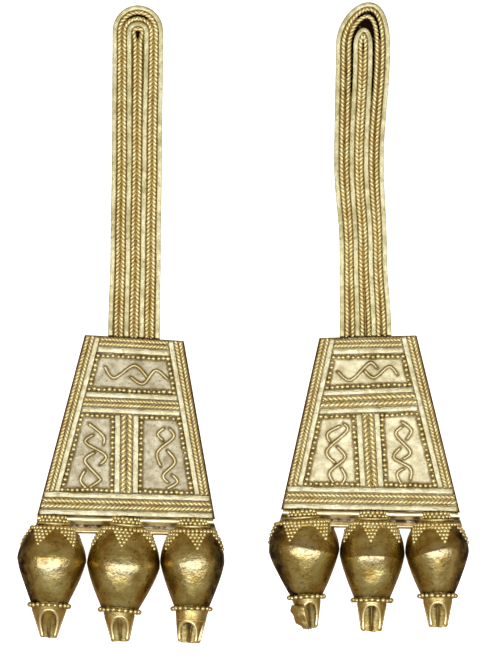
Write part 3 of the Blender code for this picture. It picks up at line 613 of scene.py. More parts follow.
def bands(earring):
    """Name, corners, width and kind of every band on the plate's face."""
    rows = []

    def stack(prefix, start, pieces, corners_between):
        for label, width in pieces:
            kind = "braid" if label.endswith("braid") else "flat"
            rows.append((f"{prefix}_{label}", corners_between(start, start + width), width, kind))
            start += width + JOINT_GAP

    def across(inset, ruled):
        return lambda start, end: cross_band(earring, inset, ruled(start), ruled(end))

    def beside_middle(down):
        return beside_middle_band(earring, down)

    def along_post(start, end):
        return tuple(post_corner(earring, offset, top) for top in (True, False) for offset in (start, end))

    inner = frame_inset()
    bottom = bottom_band_top(earring)
    stack("top", earring.top_band, (("braid", BRAID_WIDTH), ("strip", TOP_STRIP_WIDTH)),
          across(inner, level))
    for prefix, start, braid, corners_between in (
        ("middle", earring.middle_band, earring.middle_braid, across(inner, beside_middle)),
        ("bottom", bottom, earring.bottom_braid, across(EDGE_MARGIN, level)),
    ):
        pieces = (("upper_strip", CROSS_STRIP_WIDTH), ("braid", braid), ("lower_strip", CROSS_STRIP_WIDTH))
        stack(prefix, start, pieces, corners_between)
    downs = (EDGE_MARGIN, bottom - JOINT_GAP)
    for side, from_right in (("left", False), ("right", True)):
        stack(side, EDGE_MARGIN, (("side_braid", BRAID_WIDTH), ("side_strip", SIDE_STRIP_WIDTH)),
              lambda start, end: side_band(earring, (start, end), downs, from_right))
    pieces = (
        ("left_strip", POST_STRIP_WIDTH), ("braid", earring.post_braid), ("right_strip", POST_STRIP_WIDTH),
    )
    stack("post", -(POST_STRIP_WIDTH + earring.post_braid / 2 + JOINT_GAP), pieces, along_post)
    return rows


def panels(earring):
    """The three sunk panels, each as the middle line of its bead border, corner by corner."""
    reach = frame_inset() + BEAD_DIAMETER * 0.55
    row = BEAD_DIAMETER * 0.6
    post_half = POST_STRIP_WIDTH + earring.post_braid / 2 + JOINT_GAP + BEAD_DIAMETER * 0.55
    upper_top = level(earring.top_band + BRAID_WIDTH + TOP_STRIP_WIDTH + 2 * JOINT_GAP + row)
    upper_foot = beside_middle_band(earring, earring.middle_band - row)
    lower_top = beside_middle_band(earring, middle_band_foot(earring) + row)
    lower_foot = level(bottom_band_top(earring) - row)

    def edge(downs, from_right):
        return plate_point(earring, downs, inset=reach, from_right=from_right)

    down_row = np.array([0.0, row])
    upper = [
        edge(upper_top, False), edge(upper_top, True), edge(upper_foot, True), edge(upper_foot, False),
    ]
    left = [
        edge(lower_top, False),
        post_corner(earring, -post_half, True) - down_row,
        post_corner(earring, -post_half, False) + down_row,
        edge(lower_foot, False),
    ]
    right = [
        post_corner(earring, post_half, True) - down_row,
        edge(lower_top, True),
        edge(lower_foot, True),
        post_corner(earring, post_half, False) + down_row,
    ]
    return [upper, left, right]


def panel_point(corners, across, down):
    """A point of a panel, by its shares of the panel's width and height from the top left."""
    top = corners[0] + (corners[1] - corners[0]) * across
    foot = corners[3] + (corners[2] - corners[3]) * across
    return top + (foot - top) * down


# Wires and strips


def through_stations(lengths_mm, share):
    """The length at a share of the strap's height, evenly eased from one station to the next."""
    values = [length * MM for length in lengths_mm]
    share = np.asarray(share, float)
    out = np.full(share.shape, values[-1])
    for k in (2, 1, 0):
        low, high = STATION_SHARES[k:k + 2]
        t = (share - low) / (high - low)
        eased = values[k] + (values[k + 1] - values[k]) * (1 - np.cos(math.pi * t)) / 2
        out = np.where(share <= high, eased, out)
    return out


def hairpins():
    """Name, width and packed offset of each hairpin, from the middle outward."""
    edge = JOINT_GAP / 2
    for name, width in (
        ("core_wire", WIRE_DIAMETER),
        ("inner_rail", RAIL_WIDTH),
        ("inner_wire", WIRE_DIAMETER),
        ("outer_wire", WIRE_DIAMETER),
        ("outer_rail", RAIL_WIDTH),
    ):
        yield name, width, edge + width / 2
        edge += width + JOINT_GAP


def hairpin_line(earring, name, packed, spacing):
    """Evenly spaced points up the left leg, over the arch and down the right leg."""
    spring = earring.spring_height
    shape = earring.hairpin_shapes[name]
    eye = earring.core_eye if name == "core_wire" else 0.0

    def leg_x(side, height):
        share = height / spring
        half = packed + through_stations(shape.opening_mm, share)
        half = half + eye * np.clip(1 - (spring - height) / CORE_EYE_REACH, 0.0, 1.0)
        return earring.strap_foot + through_stations(earring.strap_line_mm, share) + side * half

    heights = np.linspace(0.0, spring, 160, endpoint=False)
    legs = []
    for side in (-1, 1):
        x = leg_x(side, heights)
        y = heights.copy()
        y[0] = top_edge_y(earring, x[0]) + JOINT_GAP
        legs.append(np.column_stack([x, y]))
    ends = leg_x(-1, np.array(spring)), leg_x(1, np.array(spring))
    middle, half = (ends[0] + ends[1]) / 2, (ends[1] - ends[0]) / 2
    angle = np.linspace(math.pi, 0.0, 61)
    x = middle + half * np.cos(angle) + shape.lean * np.sin(angle) ** 2
    y = spring + (packed + shape.rise) * np.sin(angle)
    return resampled(np.concatenate([legs[0], np.column_stack([x, y]), legs[1][::-1]]), spacing)


def lay_twisted_wire(work, line, diameter, lean, mirrored=False, start_turn=0.0):
    """Two round strands laid round each other. With a lean of 1 the strands that show climb to
    the right of the way the line runs. A mirrored wire changes hand at its middle."""
    spacing = np.linalg.norm(line[1] - line[0])
    along = np.arange(len(line)) * spacing
    travel = np.abs(along - along[-1] / 2) if mirrored else -along
    turn = start_turn + lean * travel * 2 * math.pi / (TWIST_PITCH * diameter / WIRE_DIAMETER)
    _, across, up = frame_along(line)
    around = circle(STRAND_SIDES)
    faces = capped_grid_faces(len(line), STRAND_SIDES)
    for half_turn in (0.0, math.pi):
        angle = (turn + half_turn)[:, None]
        outward = np.cos(angle) * across + np.sin(angle) * up
        centre = line + outward * diameter * STRAND_REACH_SHARE
        sideways = np.cross(directions(centre), outward)
        points = tube_points(centre, outward, sideways, diameter * STRAND_RADIUS_SHARE, around)
        lift = (points - line[:, None, :])[:, :, 2] / diameter
        # Painted shade: each strand darkens on its side toward the groove between the strands, partly dirt
        # there, and on its underside.
        light_and_dirt = np.clip(0.42 - 0.8 * np.cos(around) - 0.8 * lift, 0.0, 1.0)
        work.add(points, faces, light_and_dirt.reshape(-1))


def rounded_bar_section(width, height, bevel):
    """Outline of a flat strip's cut end: half widths across and heights above its underside."""
    section = []
    for cx, cz, start in (
        (width / 2 - bevel, bevel, -90),
        (width / 2 - bevel, height - bevel, 0),
        (-width / 2 + bevel, height - bevel, 90),
        (-width / 2 + bevel, bevel, 180),
    ):
        for step in (0, 45, 90):
            angle = math.radians(start + step)
            section.append((cx + bevel * math.cos(angle), cz + bevel * math.sin(angle)))
    return section


def lay_strip(work, line, width, height, bevel, seed):
    """A flat strip along a line, whose points lie on its underside, a little uneven by hand."""
    _, across, up = frame_along(line)
    section = rounded_bar_section(width, height, bevel)
    points = np.empty((len(line), len(section), 3))
    run = np.empty((len(line), len(section), 3))
    spacing = np.linalg.norm(line[1] - line[0])
    for i, place in enumerate(line):
        swell = uneven(i * 0.21, seed, 0.0) * HAND_WOBBLE
        for k, (offset, lift) in enumerate(section):
            side = math.copysign(1.0, offset)
            sag = uneven(i * 0.27, seed, side * 3.0) * HAND_WOBBLE * 1.6
            offset = offset + side * swell
            raised = lift + (sag if lift > height / 2 else 0.0)
            points[i, k] = place + across[i] * offset + up[i] * raised
            run[i, k] = (i * spacing, offset, seed * 10 * MM)
    # Painted shade: the lower half of the strip's sides is darkened.
    light_and_dirt = [0.9 if lift < height * 0.5 else 0.0 for _, lift in section]
    work.add(points, capped_grid_faces(len(line), len(section)), np.tile(light_and_dirt, len(line)), run)


def strap_pieces(earring, finishes):
    """The five nested hairpins of the strap."""
    for name, width, packed in hairpins():
        work = Metalwork(earring)
        if name.endswith("rail"):
            line = at_height(hairpin_line(earring, name, packed, 0.35 * MM), -RAIL_DEPTH / 2)
            lay_strip(work, line, width * 1.1, RAIL_DEPTH, 0.09 * MM, seed=len(name))
            finish = finishes["rail"]
        else:
            line = hairpin_line(earring, name, packed, TWIST_PITCH / TWIST_STEPS)
            lean = -earring.strand_lean if name == "inner_wire" else earring.strand_lean
            lay_twisted_wire(work, at_height(line, 0.06 * MM), width * 1.14, lean, mirrored=True)
            finish = finishes["twist"]
        work.dress(f"strap_{name}", finish)


def solder_seams(earring, finishes):
    """Solder and old dirt that fill the narrow grooves between hairpins, brown with painted shade. Wider
    gaps stay open.
    """
    work = Metalwork(earring)
    pins = list(hairpins())
    for (inner, inner_width, inner_packed), (outer, outer_width, outer_packed) in zip(pins, pins[1:]):
        one = hairpin_line(earring, inner, inner_packed, 0.25 * MM)
        two = hairpin_line(earring, outer, outer_packed, 0.05 * MM)
        apart = np.linalg.norm(one[:, None, :] - two[None, :, :], axis=2)
        near = two[apart.argmin(axis=1)]
        apart = apart.min(axis=1)
        gap = apart - (inner_width + outer_width) / 2
        middle = one + (near - one) * ((inner_width + gap) / 2 / apart)[:, None]
        widest = WIDEST_CORE_SEAM if inner == "core_wire" else WIDEST_SEAM
        open_spots = list(np.flatnonzero(gap > widest))
        for start, end in zip([-1] + open_spots, open_spots + [len(middle)]):
            if end - start > 5:
                part = slice(start + 1, end)
                seam = at_height(middle[part], -1.1 * gap[part])
                # Painted shade: the seam's lower side is darkened, and its brown stands for the grooves'
                # shade as well as old dirt.
                lay_round_wire(work, seam, SEAM_RADIUS, THIN_WIRE_SIDES, SEAM_SHADE_AND_DIRT)
    core, _, packed = pins[0]
    line = hairpin_line(earring, core, packed, 0.25 * MM)
    between = (line + line[::-1])[:len(line) // 2] / 2
    between = between[between[:, 1] < earring.spring_height - 0.5 * CORE_EYE_REACH]
    lay_round_wire(work, at_height(between, 0.0), CORE_SEAM_RADIUS, THIN_WIRE_SIDES, SEAM_SHADE_AND_DIRT)
    work.make("strap_solder", finishes["solder"])


def backing_sheet(earring, finishes):
    """The thin sheet that shows between the hairpins, darkened with painted shade. It is hammered and a
    little uneven.
    """
    name, _, packed = list(hairpins())[-1]
    outline = hairpin_line(earring, name, packed, 0.3 * MM)
    rows, columns = len(outline) // 2, 24
    front = -(RAIL_DEPTH / 2 + JOINT_GAP)
    work = Metalwork(earring)
    sheets = []
    # Painted shade: full on the front face, strong on the edges, faint on the back.
    for face, base, dirt_and_shade in ((1, front, 1.0), (-1, front - BACKING_THICKNESS, 0.25)):
        grid = np.empty((rows, columns, 3))
        for r in range(rows):
            left, right = outline[r], outline[-1 - r]
            for c in range(columns):
                x, y = left + (right - left) * c / (columns - 1)
                dip = 0.03 * MM * (0.5 + noise.noise(Vector((x, y, face)) * 600))
                rim = c in (0, columns - 1) or r in (0, rows - 1)
                grid[r, c] = (x, y, base - face * (0.0 if rim else dip))
        work.add(grid, sheet_faces(rows, columns), dirt_and_shade)
        sheets.append(grid)
    close_sheets(work, sheets, 0.8)
    work.dress("strap_backing", finishes["backing"], welded=True)


def lay_braid(work, corners, width):
    """Two twisted wires of opposite hand side by side, from one end of a band to the other."""
    start_left, start_right, end_left, end_right = corners
    wire = width / 2 * 0.98
    for share, lean in ((0.25, 1), (0.75, -1)):
        start = start_left + (start_right - start_left) * share
        end = end_left + (end_right - end_left) * share
        inward = unit(end - start) * wire * 0.1
        line = resampled(np.array([start + inward, end - inward]), TWIST_PITCH / TWIST_STEPS)
        height = PLATE_THICKNESS / 2 + JOINT_GAP + wire / 2
        lay_twisted_wire(work, at_height(line, height), wire, lean, start_turn=share)


def band_pieces(earring, finishes):
    """Flat strips and braids soldered on the plate's face."""
    floor = PLATE_THICKNESS / 2 + JOINT_GAP
    for index, (label, corners, width, kind) in enumerate(bands(earring)):
        work = Metalwork(earring)
        if kind == "braid":
            lay_braid(work, corners, width)
        else:
            start = (corners[0] + corners[1]) / 2
            end = (corners[2] + corners[3]) / 2
            line = resampled(np.array([start, end]), 0.4 * MM)
            lay_strip(work, at_height(line, floor), width, STRIP_HEIGHT, 0.1 * MM, seed=index * 3.1)
        finish = finishes["twist" if kind == "braid" else "strip"]
        work.dress(label, finish)


# Beads and filigree


def bead_shape():
    """Points and faces of a small round bead of radius 1."""
    bm = bmesh.new()
    bmesh.ops.create_icosphere(bm, subdivisions=2, radius=1.0)
    points = np.array([v.co for v in bm.verts])
    faces = [tuple(v.index for v in f.verts) for f in bm.faces]
    bm.free()
    return points, faces


BEAD_POINTS, BEAD_FACES = bead_shape()


def lay_bead(work, place, outward, diameter, rng):
    """One bead, half molten into what it stands on. Painted shade darkens its lower half."""
    radius = diameter / 2 * rng.uniform(0.92, 1.06)
    facing = BEAD_POINTS @ np.asarray(outward)
    light_and_dirt = np.clip(0.35 - 0.9 * facing, 0.0, 1.0)
    work.add(np.asarray(place) + BEAD_POINTS * radius, BEAD_FACES, light_and_dirt)


def border_sides(earring):
    """Start and end of each side of the three panels' bead borders."""
    for corners in panels(earring):
        yield from zip(corners, corners[1:] + corners[:1])


def border_beads(earring, finishes):
    """Rows of beads round the three panels."""
    rng = random.Random(7 if earring.name == "left" else 11)
    work = Metalwork(earring)
    height = PLATE_THICKNESS / 2 + BEAD_DIAMETER * 0.32
    for start, end in border_sides(earring):
        count = max(3, int(round(np.linalg.norm(end - start) / BORDER_BEAD_PITCH)))
        for i in range(count):
            spot = start + (end - start) * (i / count)
            spot = spot + np.array([rng.uniform(-1, 1), rng.uniform(-1, 1)]) * 0.08 * MM
            place = (spot[0], spot[1], height + rng.uniform(-0.06, 0.04) * MM)
            lay_bead(work, place, (0.0, 0.0, 1.0), BEAD_DIAMETER * rng.uniform(0.95, 1.18), rng)
    work.make("border_beads", finishes["bead"])


def lay_round_wire(work, line, radius, sides=WIRE_SIDES, dirt_and_shade=0.2):
    """A plain round wire with rounded ends."""
    _, across, up = frame_along(line)
    along = np.concatenate([[0.0], np.cumsum(np.linalg.norm(np.diff(line, axis=0), axis=1))])
    from_end = np.minimum(along, along[-1] - along)
    close = np.clip(from_end / radius, 0.0, 1.0)
    thickness = radius * np.maximum(0.25, np.sqrt(1 - (1 - close) ** 2))
    around = circle(sides)
    points = tube_points(line, across, up, thickness[:, None, None], around)
    # Painted shade: the underside of the wire is darkened, over the given level.
    light_and_dirt = np.clip(dirt_and_shade - 1.1 * np.sin(around), 0.0, 1.0)
    work.add(points, capped_grid_faces(len(line), sides), np.tile(light_and_dirt, len(line)))


def filigree_lines(earring, spacing):
    """Each filigree wire's number in its panel and its line."""
    for corners, wires in zip(panels(earring), earring.filigree):
        for index, turns in enumerate(wires):
            bends = [panel_point(corners, *turn) for turn in turns]
            yield index, resampled(smooth_line(bends, 12), spacing)


def filigree_wires(earring, finishes):
    """Thin wires bent in waves, which cross in pairs on the panels."""
    work = Metalwork(earring)
    for index, line in filigree_lines(earring, 0.07 * MM):
        lift = PLATE_THICKNESS / 2 + FILIGREE_DIAMETER * (0.45 + 0.07 * (index % 3))
        lay_round_wire(work, at_height(line, lift), FILIGREE_DIAMETER * 0.6)
    work.make("filigree", finishes["filigree"])


# Plate


def beside_wires(earring, spots):
    """How close each spot of the plate's face lies to a filigree wire or a row of beads, from 0
    to 1. Painted shade darkens the sheet there."""
    wires = [(line, FILIGREE_DIAMETER * 0.6) for _, line in filigree_lines(earring, 0.2 * MM)]
    for start, end in border_sides(earring):
        line = resampled(np.array([start, (start + end) / 2, end]), 0.2 * MM)
        wires.append((line, BEAD_DIAMETER * 0.56))
    nearest = np.full(len(spots), 1.0)
    for line, half_width in wires:
        for point in line:
            away = np.hypot(spots[:, 0] - point[0], spots[:, 1] - point[1]) - half_width
            nearest = np.minimum(nearest, away)
    return np.clip(1 - nearest / DIRT_REACH, 0.0, 1.0)


def plate_sheet(earring, finishes):
    """The tapering box, its face slightly uneven and its edges rounded."""
    work = Metalwork(earring)
    half = PLATE_THICKNESS / 2
    sheets = []
    for face, inset, spread in (
        (1, PLATE_BEVEL, 0.0),
        (1, 0.0, 0.0),
        (-1, 0.0, PLATE_SPREAD - PLATE_BEVEL),
        (-1, PLATE_BEVEL, PLATE_SPREAD),
    ):
        height = face * (half if inset else half - PLATE_BEVEL)
        grid = np.empty((PLATE_ROWS, PLATE_COLUMNS, 3))
        for r in range(PLATE_ROWS):
            down = inset + (earring.plate_height - 2 * inset) * r / (PLATE_ROWS - 1)
            start = plate_point(earring, level(down), inset=inset - spread)
            end = plate_point(earring, level(down), inset=inset - spread, from_right=True)
            for c in range(PLATE_COLUMNS):
                x, y = start + (end - start) * c / (PLATE_COLUMNS - 1)
                dip = 0.035 * MM * noise.noise(Vector((x, y, face)) * 700) if inset else 0.0
                grid[r, c] = (x, y, height + dip * face)
        sheets.append(grid)
    # Painted shade beside the wires and beads, and dark painted shade on the side walls.
    dirt_and_shade = beside_wires(earring, sheets[0].reshape(-1, 3))
    work.add(sheets[0], sheet_faces(PLATE_ROWS, PLATE_COLUMNS, turned=True), dirt_and_shade)
    work.add(sheets[-1], sheet_faces(PLATE_ROWS, PLATE_COLUMNS), 0.0)
    close_sheets(work, sheets[::-1], 1.6)
    finish = finishes[f"{earring.name}_sheet"]
    work.dress("plate", finish, welded=True)


def moulding(earring, finishes):
    """A bead, a cove and a lip along the plate's foot, behind the necks."""
    half = PLATE_THICKNESS / 2
    drop = MOULDING_DROP
    turns = [
        (0.0, half * 0.8), (0.06, half + 0.6 * BEAD_RISE), (0.18, half + BEAD_RISE),
        (0.32, half + 0.5 * BEAD_RISE), (0.42, COVE_HEIGHT * 1.6), (0.60, COVE_HEIGHT),
        (0.76, COVE_HEIGHT * 1.6), (0.86, LIP_HEIGHT), (0.96, LIP_HEIGHT * 0.85),
        (1.0, LIP_HEIGHT * 0.4),
    ]
    front = smooth_line([(share * drop, height) for share, height in turns], 4)
    back = [(drop, -0.4 * half), (0.9 * drop, -half * 0.8), (-MOULDING_TENON, -half * 0.8)]
    outline = [(-MOULDING_TENON, half * 0.8)] + [tuple(p) for p in front] + back
    left = side_point(earring, 0, earring.plate_height)
    right = side_point(earring, 1, earring.plate_height)
    points = np.empty((MOULDING_STATIONS, len(outline), 3))
    for k, (down, height) in enumerate(outline):
        share = (down + MOULDING_TENON) / (drop + MOULDING_TENON)
        flare = (MOULDING_FLARE + MOULDING_TENON) * share - MOULDING_TENON
        start = left + np.array([-flare, -down])
        end = right + np.array([flare, -down])
        for i in range(MOULDING_STATIONS):
            x, y = start + (end - start) * i / (MOULDING_STATIONS - 1)
            ripple = 0.04 * MM * uneven(x * 500, k * 0.3, 2.0) if height > 0 else 0.0
            points[i, k] = (x, y, height + ripple)
    # Painted shade darkens the cove.
    light_and_dirt = [0.75 * math.exp(-(((down / drop) - 0.56) / 0.16) ** 2) for down, _ in outline]
    work = Metalwork(earring)
    faces = capped_grid_faces(MOULDING_STATIONS, len(outline))
    work.add(points, faces, np.tile(light_and_dirt, MOULDING_STATIONS))
    work.make("moulding", finishes["moulding"], 60, welded=True)


# Fruits


def girth_points(earring):
    """Centre of each fruit's widest girth. The fruits stand side by side and almost touch."""
    middle_x = earring.bottom_shift + earring.fruit_row_shift
    left, middle, right = earring.fruits
    xs = [
        middle_x - left.radius - middle.radius - JOINT_GAP,
        middle_x,
        middle_x + middle.radius + right.radius + JOINT_GAP,
    ]
    points = []
    for fruit, x in zip(earring.fruits, xs):
        lean = math.radians(fruit.lean_deg)
        neck_x = x - math.sin(lean) * fruit.drop
        neck_y = bottom_edge_y(earring, neck_x) - JOINT_GAP
        points.append((x, neck_y - math.cos(lean) * fruit.drop))
    return points


def height_above_ground(earring, y):
    """How far the earring's middle plane is from the ground, measured square to that plane."""
    tilt = math.radians(-earring.tilt_deg)
    name, _, packed = list(hairpins())[-1]
    tip_y = earring.spring_height + packed + earring.hairpin_shapes[name].rise
    depth = RAIL_DEPTH / 2 + JOINT_GAP + BACKING_THICKNESS
    return (tip_y - y) * math.sin(tilt) + depth * math.cos(tilt)


class Body:
    """The turned body of one fruit: its place, depth and outline."""

    def __init__(self, earring, fruit, girth):
        self.earring = earring
        self.fruit = fruit
        lean = math.radians(fruit.lean_deg)
        self.neck = np.array(girth) + leaning(0.0, fruit.drop, lean)
        self.depth_ratio = (height_above_ground(earring, girth[1]) + REST_FLAT_DEPTH) / fruit.radius
        self.lean = lean
        self.start = NECK_LENGTH + 0.6 * MM
        self.foot = fruit.drop + fruit.taper

    def radius(self, distance):
        """Radius of the belly at a distance below the neck's top."""
        fruit = self.fruit
        if distance < self.start:
            share = distance / self.start
            return NECK_RADIUS + (self.radius(self.start) - NECK_RADIUS) * share**6
        if distance <= fruit.drop:
            share = distance / fruit.drop
            return fruit.radius * (1 - (1 - share) ** fruit.roundness) ** (1 / fruit.roundness)
        if distance <= self.foot:
            share = (distance - fruit.drop) / fruit.taper
            return fruit.radius - (fruit.radius - fruit.collar_radius) * share**1.2
        share = (distance - self.foot) / COLLAR_THICKNESS
        return fruit.collar_radius * (1 + 0.06 * math.sin(math.pi * share) - 0.07 * share**2)

    def below_crest(self, turn, distance):
        """Turn from the front in degrees, and how far below the crest a spot lies."""
        turn_deg = (math.degrees(turn) + 180) % 360 - 180
        crest = self.fruit.drop + np.interp(turn_deg, CREST_TURNS_DEG, self.fruit.crest_line) * MM
        return turn_deg, distance - crest

    def set_back(self, turn, distance):
        """How far the sheet above the crest leans back from the crest's edge. This fades out
        towards the beads, the flanks and the back. Below the girth the front is fuller."""
        turn_deg, below = self.below_crest(turn, distance)
        if abs(turn_deg) >= 90 or not self.start <= distance <= self.foot:
            return 0.0
        front = math.cos(turn) ** 0.7
        share = max(0.0, (distance - self.fruit.drop) / self.fruit.taper)
        full = (self.fruit.radius - self.fruit.collar_radius) * (share**1.2 - share**1.8) * 0.9 * front
        if below > 0.0:
            return -full
        share = min(1.0, -below / (2.4 * MM))
        lean = share * (1 - 0.35 * share) + 0.07 * (1 - math.exp(below / (0.15 * MM)))
        close = min(1.0, (distance - self.start) / (1.2 * MM))
        return self.fruit.crest * lean * close * front - full

    def painted_crest_highlight(self, turn, distance):
        """How strongly a painted highlight pales the sheet: most on the front, along the crest."""
        if math.cos(turn) <= 0.0:
            return 0.0
        turn_deg, below = self.below_crest(turn, distance)
        away = (below - 0.2 * MM) / (1.3 * MM)
        return math.exp(-away**2 - (turn_deg / 26) ** 2)

    def point(self, turn, distance, proud=0.0):
        """A point of the surface. Turn is from the front, positive to the viewer's right."""
        radius = self.radius(distance) + proud - self.set_back(turn, distance)
        for dent_turn, dent_down, width, depth in self.fruit.dents:
            away = (turn - math.radians(dent_turn) + math.pi) % (2 * math.pi) - math.pi
            across = away * self.radius(distance)
            reach = (across**2 + (distance - dent_down * MM) ** 2) / (width * MM) ** 2
            radius -= depth * MM * math.exp(-reach)
        grain = Vector((math.sin(turn) * radius, -distance, math.cos(turn) * radius)) * 260
        radius += 0.05 * MM * noise.noise(grain + Vector((self.fruit.radius * 9000, 0, 0)))
        x, y, z = math.sin(turn) * radius, -distance, math.cos(turn) * radius * self.depth_ratio
        return self.placed(x, y, z)

    def placed(self, x, y, z):
        """From the fruit's own frame, which hangs down -Y, to the earring's."""
        return np.array([*(self.neck + leaning(x, y, self.lean)), z])

    def outward(self, turn, distance):
        """Unit vector square to the surface."""
        ahead, behind = distance + SLOPE_STEP, distance - SLOPE_STEP
        rise = self.radius(ahead) - self.set_back(turn, ahead)
        rise -= self.radius(behind) - self.set_back(turn, behind)
        slope = rise / (2 * SLOPE_STEP)
        n = Vector((math.sin(turn), slope, math.cos(turn) / self.depth_ratio)).normalized()
        return np.array([*leaning(n.x, n.y, self.lean), n.z])


def fruit_sheet(body, finishes):
    """The raised and dented sheet of the fruit, with a flat spot where its back rests."""
    distances = np.linspace(0.02 * MM, body.foot + COLLAR_THICKNESS, FRUIT_ROWS).tolist()
    turns = [2 * math.pi * i / FRUIT_SIDES for i in range(FRUIT_SIDES)]
    points = np.array([body.point(turn, distance) for distance in distances for turn in turns])
    tilt = math.radians(-body.earring.tilt_deg)
    for p in points:
        ground = -height_above_ground(body.earring, p[1]) / math.cos(tilt)
        p[2] = max(p[2], ground + 0.002 * MM)
    # Painted shade near the neck, near the collar and toward the flanks, painted dark reflection on the
    # shaded flank, and a painted highlight (below 0) along the crest.
    light_and_dirt = []
    for distance in distances:
        shade = 0.8 * max(0.0, 1 - distance / (2.2 * MM))
        shade += 0.7 * math.exp(-((body.foot - distance) / (0.5 * MM)) ** 2)
        for turn in turns:
            across = math.sin(turn)
            flank = 0.15 * across**4
            if body.fruit.shaded_flank * across > 0.55:
                flank = 0.2 + 2.4 * (abs(across) - 0.55)
            light_and_dirt.append(min(1.0, shade + flank) - body.painted_crest_highlight(turn, distance))
    work = Metalwork(body.earring)
    work.add(points, capped_grid_faces(FRUIT_ROWS, FRUIT_SIDES), light_and_dirt)
    work.dress(f"{body.fruit.name}_fruit", finishes["fruit"], welded=True)


def lay_ring(work, body, distance, proud, radius):
    """A plain wire bent round the fruit."""
    stations = 90
    points = np.empty((stations, WIRE_SIDES, 3))
    for i in range(stations):
        turn = 2 * math.pi * i / stations
        centre = body.point(turn, distance, proud)
        outward = body.outward(turn, distance)
        along = unit(np.cross(outward, body.point(turn + 0.01, distance, proud) - centre))
        for k, angle in enumerate(circle(WIRE_SIDES)):
            points[i, k] = centre + radius * (math.cos(angle) * outward + math.sin(angle) * along)
    # Painted shade on the side of the wire that faces the fruit.
    light_and_dirt = np.clip(0.2 - np.cos(circle(WIRE_SIDES)), 0, 1)
    work.add(points, grid_faces(stations, WIRE_SIDES, close_rows=True), np.tile(light_and_dirt, stations))


def set_bead(work, body, turn, distance, diameter, proud, rng):
    """A bead on the fruit, proud of it by a share of its size, if the ground leaves room for it."""
    outward = body.outward(turn, distance)
    place = body.point(turn, distance) + outward * diameter * proud
    if place[2] - diameter / 2 > -height_above_ground(body.earring, place[1]):
        lay_bead(work, place, outward, diameter, rng)


def bead_row(work, body, distance, diameter, pitch, rng, offset=0.0):
    """A full ring of beads round the fruit."""
    count = int(round(2 * math.pi * body.radius(distance) / pitch))
    for i in range(count):
        turn = 2 * math.pi * (i + offset) / count
        spot = distance + rng.uniform(-BEAD_JITTER, BEAD_JITTER)
        set_bead(work, body, turn, spot, diameter, 0.12, rng)


def shoulder_beads(work, body, rng):
    """Bead triangles that hang from the ring of beads on the shoulder."""
    first = body.start + 0.5 * MM
    bead_row(work, body, first, FRUIT_BEAD_DIAMETER, FRUIT_BEAD_PITCH, rng)
    for triangle in range(TRIANGLES_AROUND):
        middle = math.radians(body.fruit.triangle_turn_deg) + 2 * math.pi * triangle / TRIANGLES_AROUND
        along = first
        for row in range(TRIANGLE_ROWS):
            rise = body.radius(along + SLOPE_STEP) - body.radius(along - SLOPE_STEP)
            along += FRUIT_BEAD_PITCH * 0.9 / math.hypot(1.0, rise / (2 * SLOPE_STEP))
            count = TRIANGLE_ROWS - row
            for k in range(count):
                turn = middle + (k - (count - 1) / 2) * FRUIT_BEAD_PITCH / body.radius(along)
                spot = along + rng.uniform(-0.04, 0.04) * MM
                set_bead(work, body, turn, spot, FRUIT_BEAD_DIAMETER, -0.06, rng)


def fruit_beads(body, finishes):
    """Beads and plain wires on the neck, the shoulder and the collar."""
    rng = random.Random(int(body.fruit.radius * 1e6))
    work = Metalwork(body.earring)
    for distance, offset in ((0.3 * MM, 0.0), (0.82 * MM, 0.5)):
        bead_row(work, body, distance, FRUIT_BEAD_DIAMETER, FRUIT_BEAD_PITCH * 1.02, rng, offset)
    lay_ring(work, body, 1.32 * MM, 0.1 * MM, 0.2 * MM)
    shoulder_beads(work, body, rng)
    collar = body.foot + COLLAR_THICKNESS / 2
    bead_row(work, body, collar, COLLAR_BEAD_DIAMETER, COLLAR_BEAD_PITCH, rng)
    work.make(f"{body.fruit.name}_fruit_beads", finishes["bead"])


# Crowns


def notch_opening(turn_deg):
    """How far a notch has opened at this turn, from 0 on a point to 1 in the notch's middle."""
    for centre, half in NOTCHES:
        away = abs((turn_deg - centre + 180) % 360 - 180) / half
        if away < 1:
            return math.sqrt(1 - away**2)
    return 0.0


def crown_turns():
    """Turns round the crown in degrees, closer together beside the notches' steep flanks."""
    turns = []
    for centre, half in NOTCHES:
        turns += [centre + half * math.sin(math.radians(step)) for step in range(-90, 91, 9)]
    start = SIDE_NOTCH_TURN_DEG + SIDE_NOTCH_HALF_DEG
    turns += list(np.linspace(start, 360 - start, 12)[1:-1])
    return sorted(turn % 360 for turn in turns)


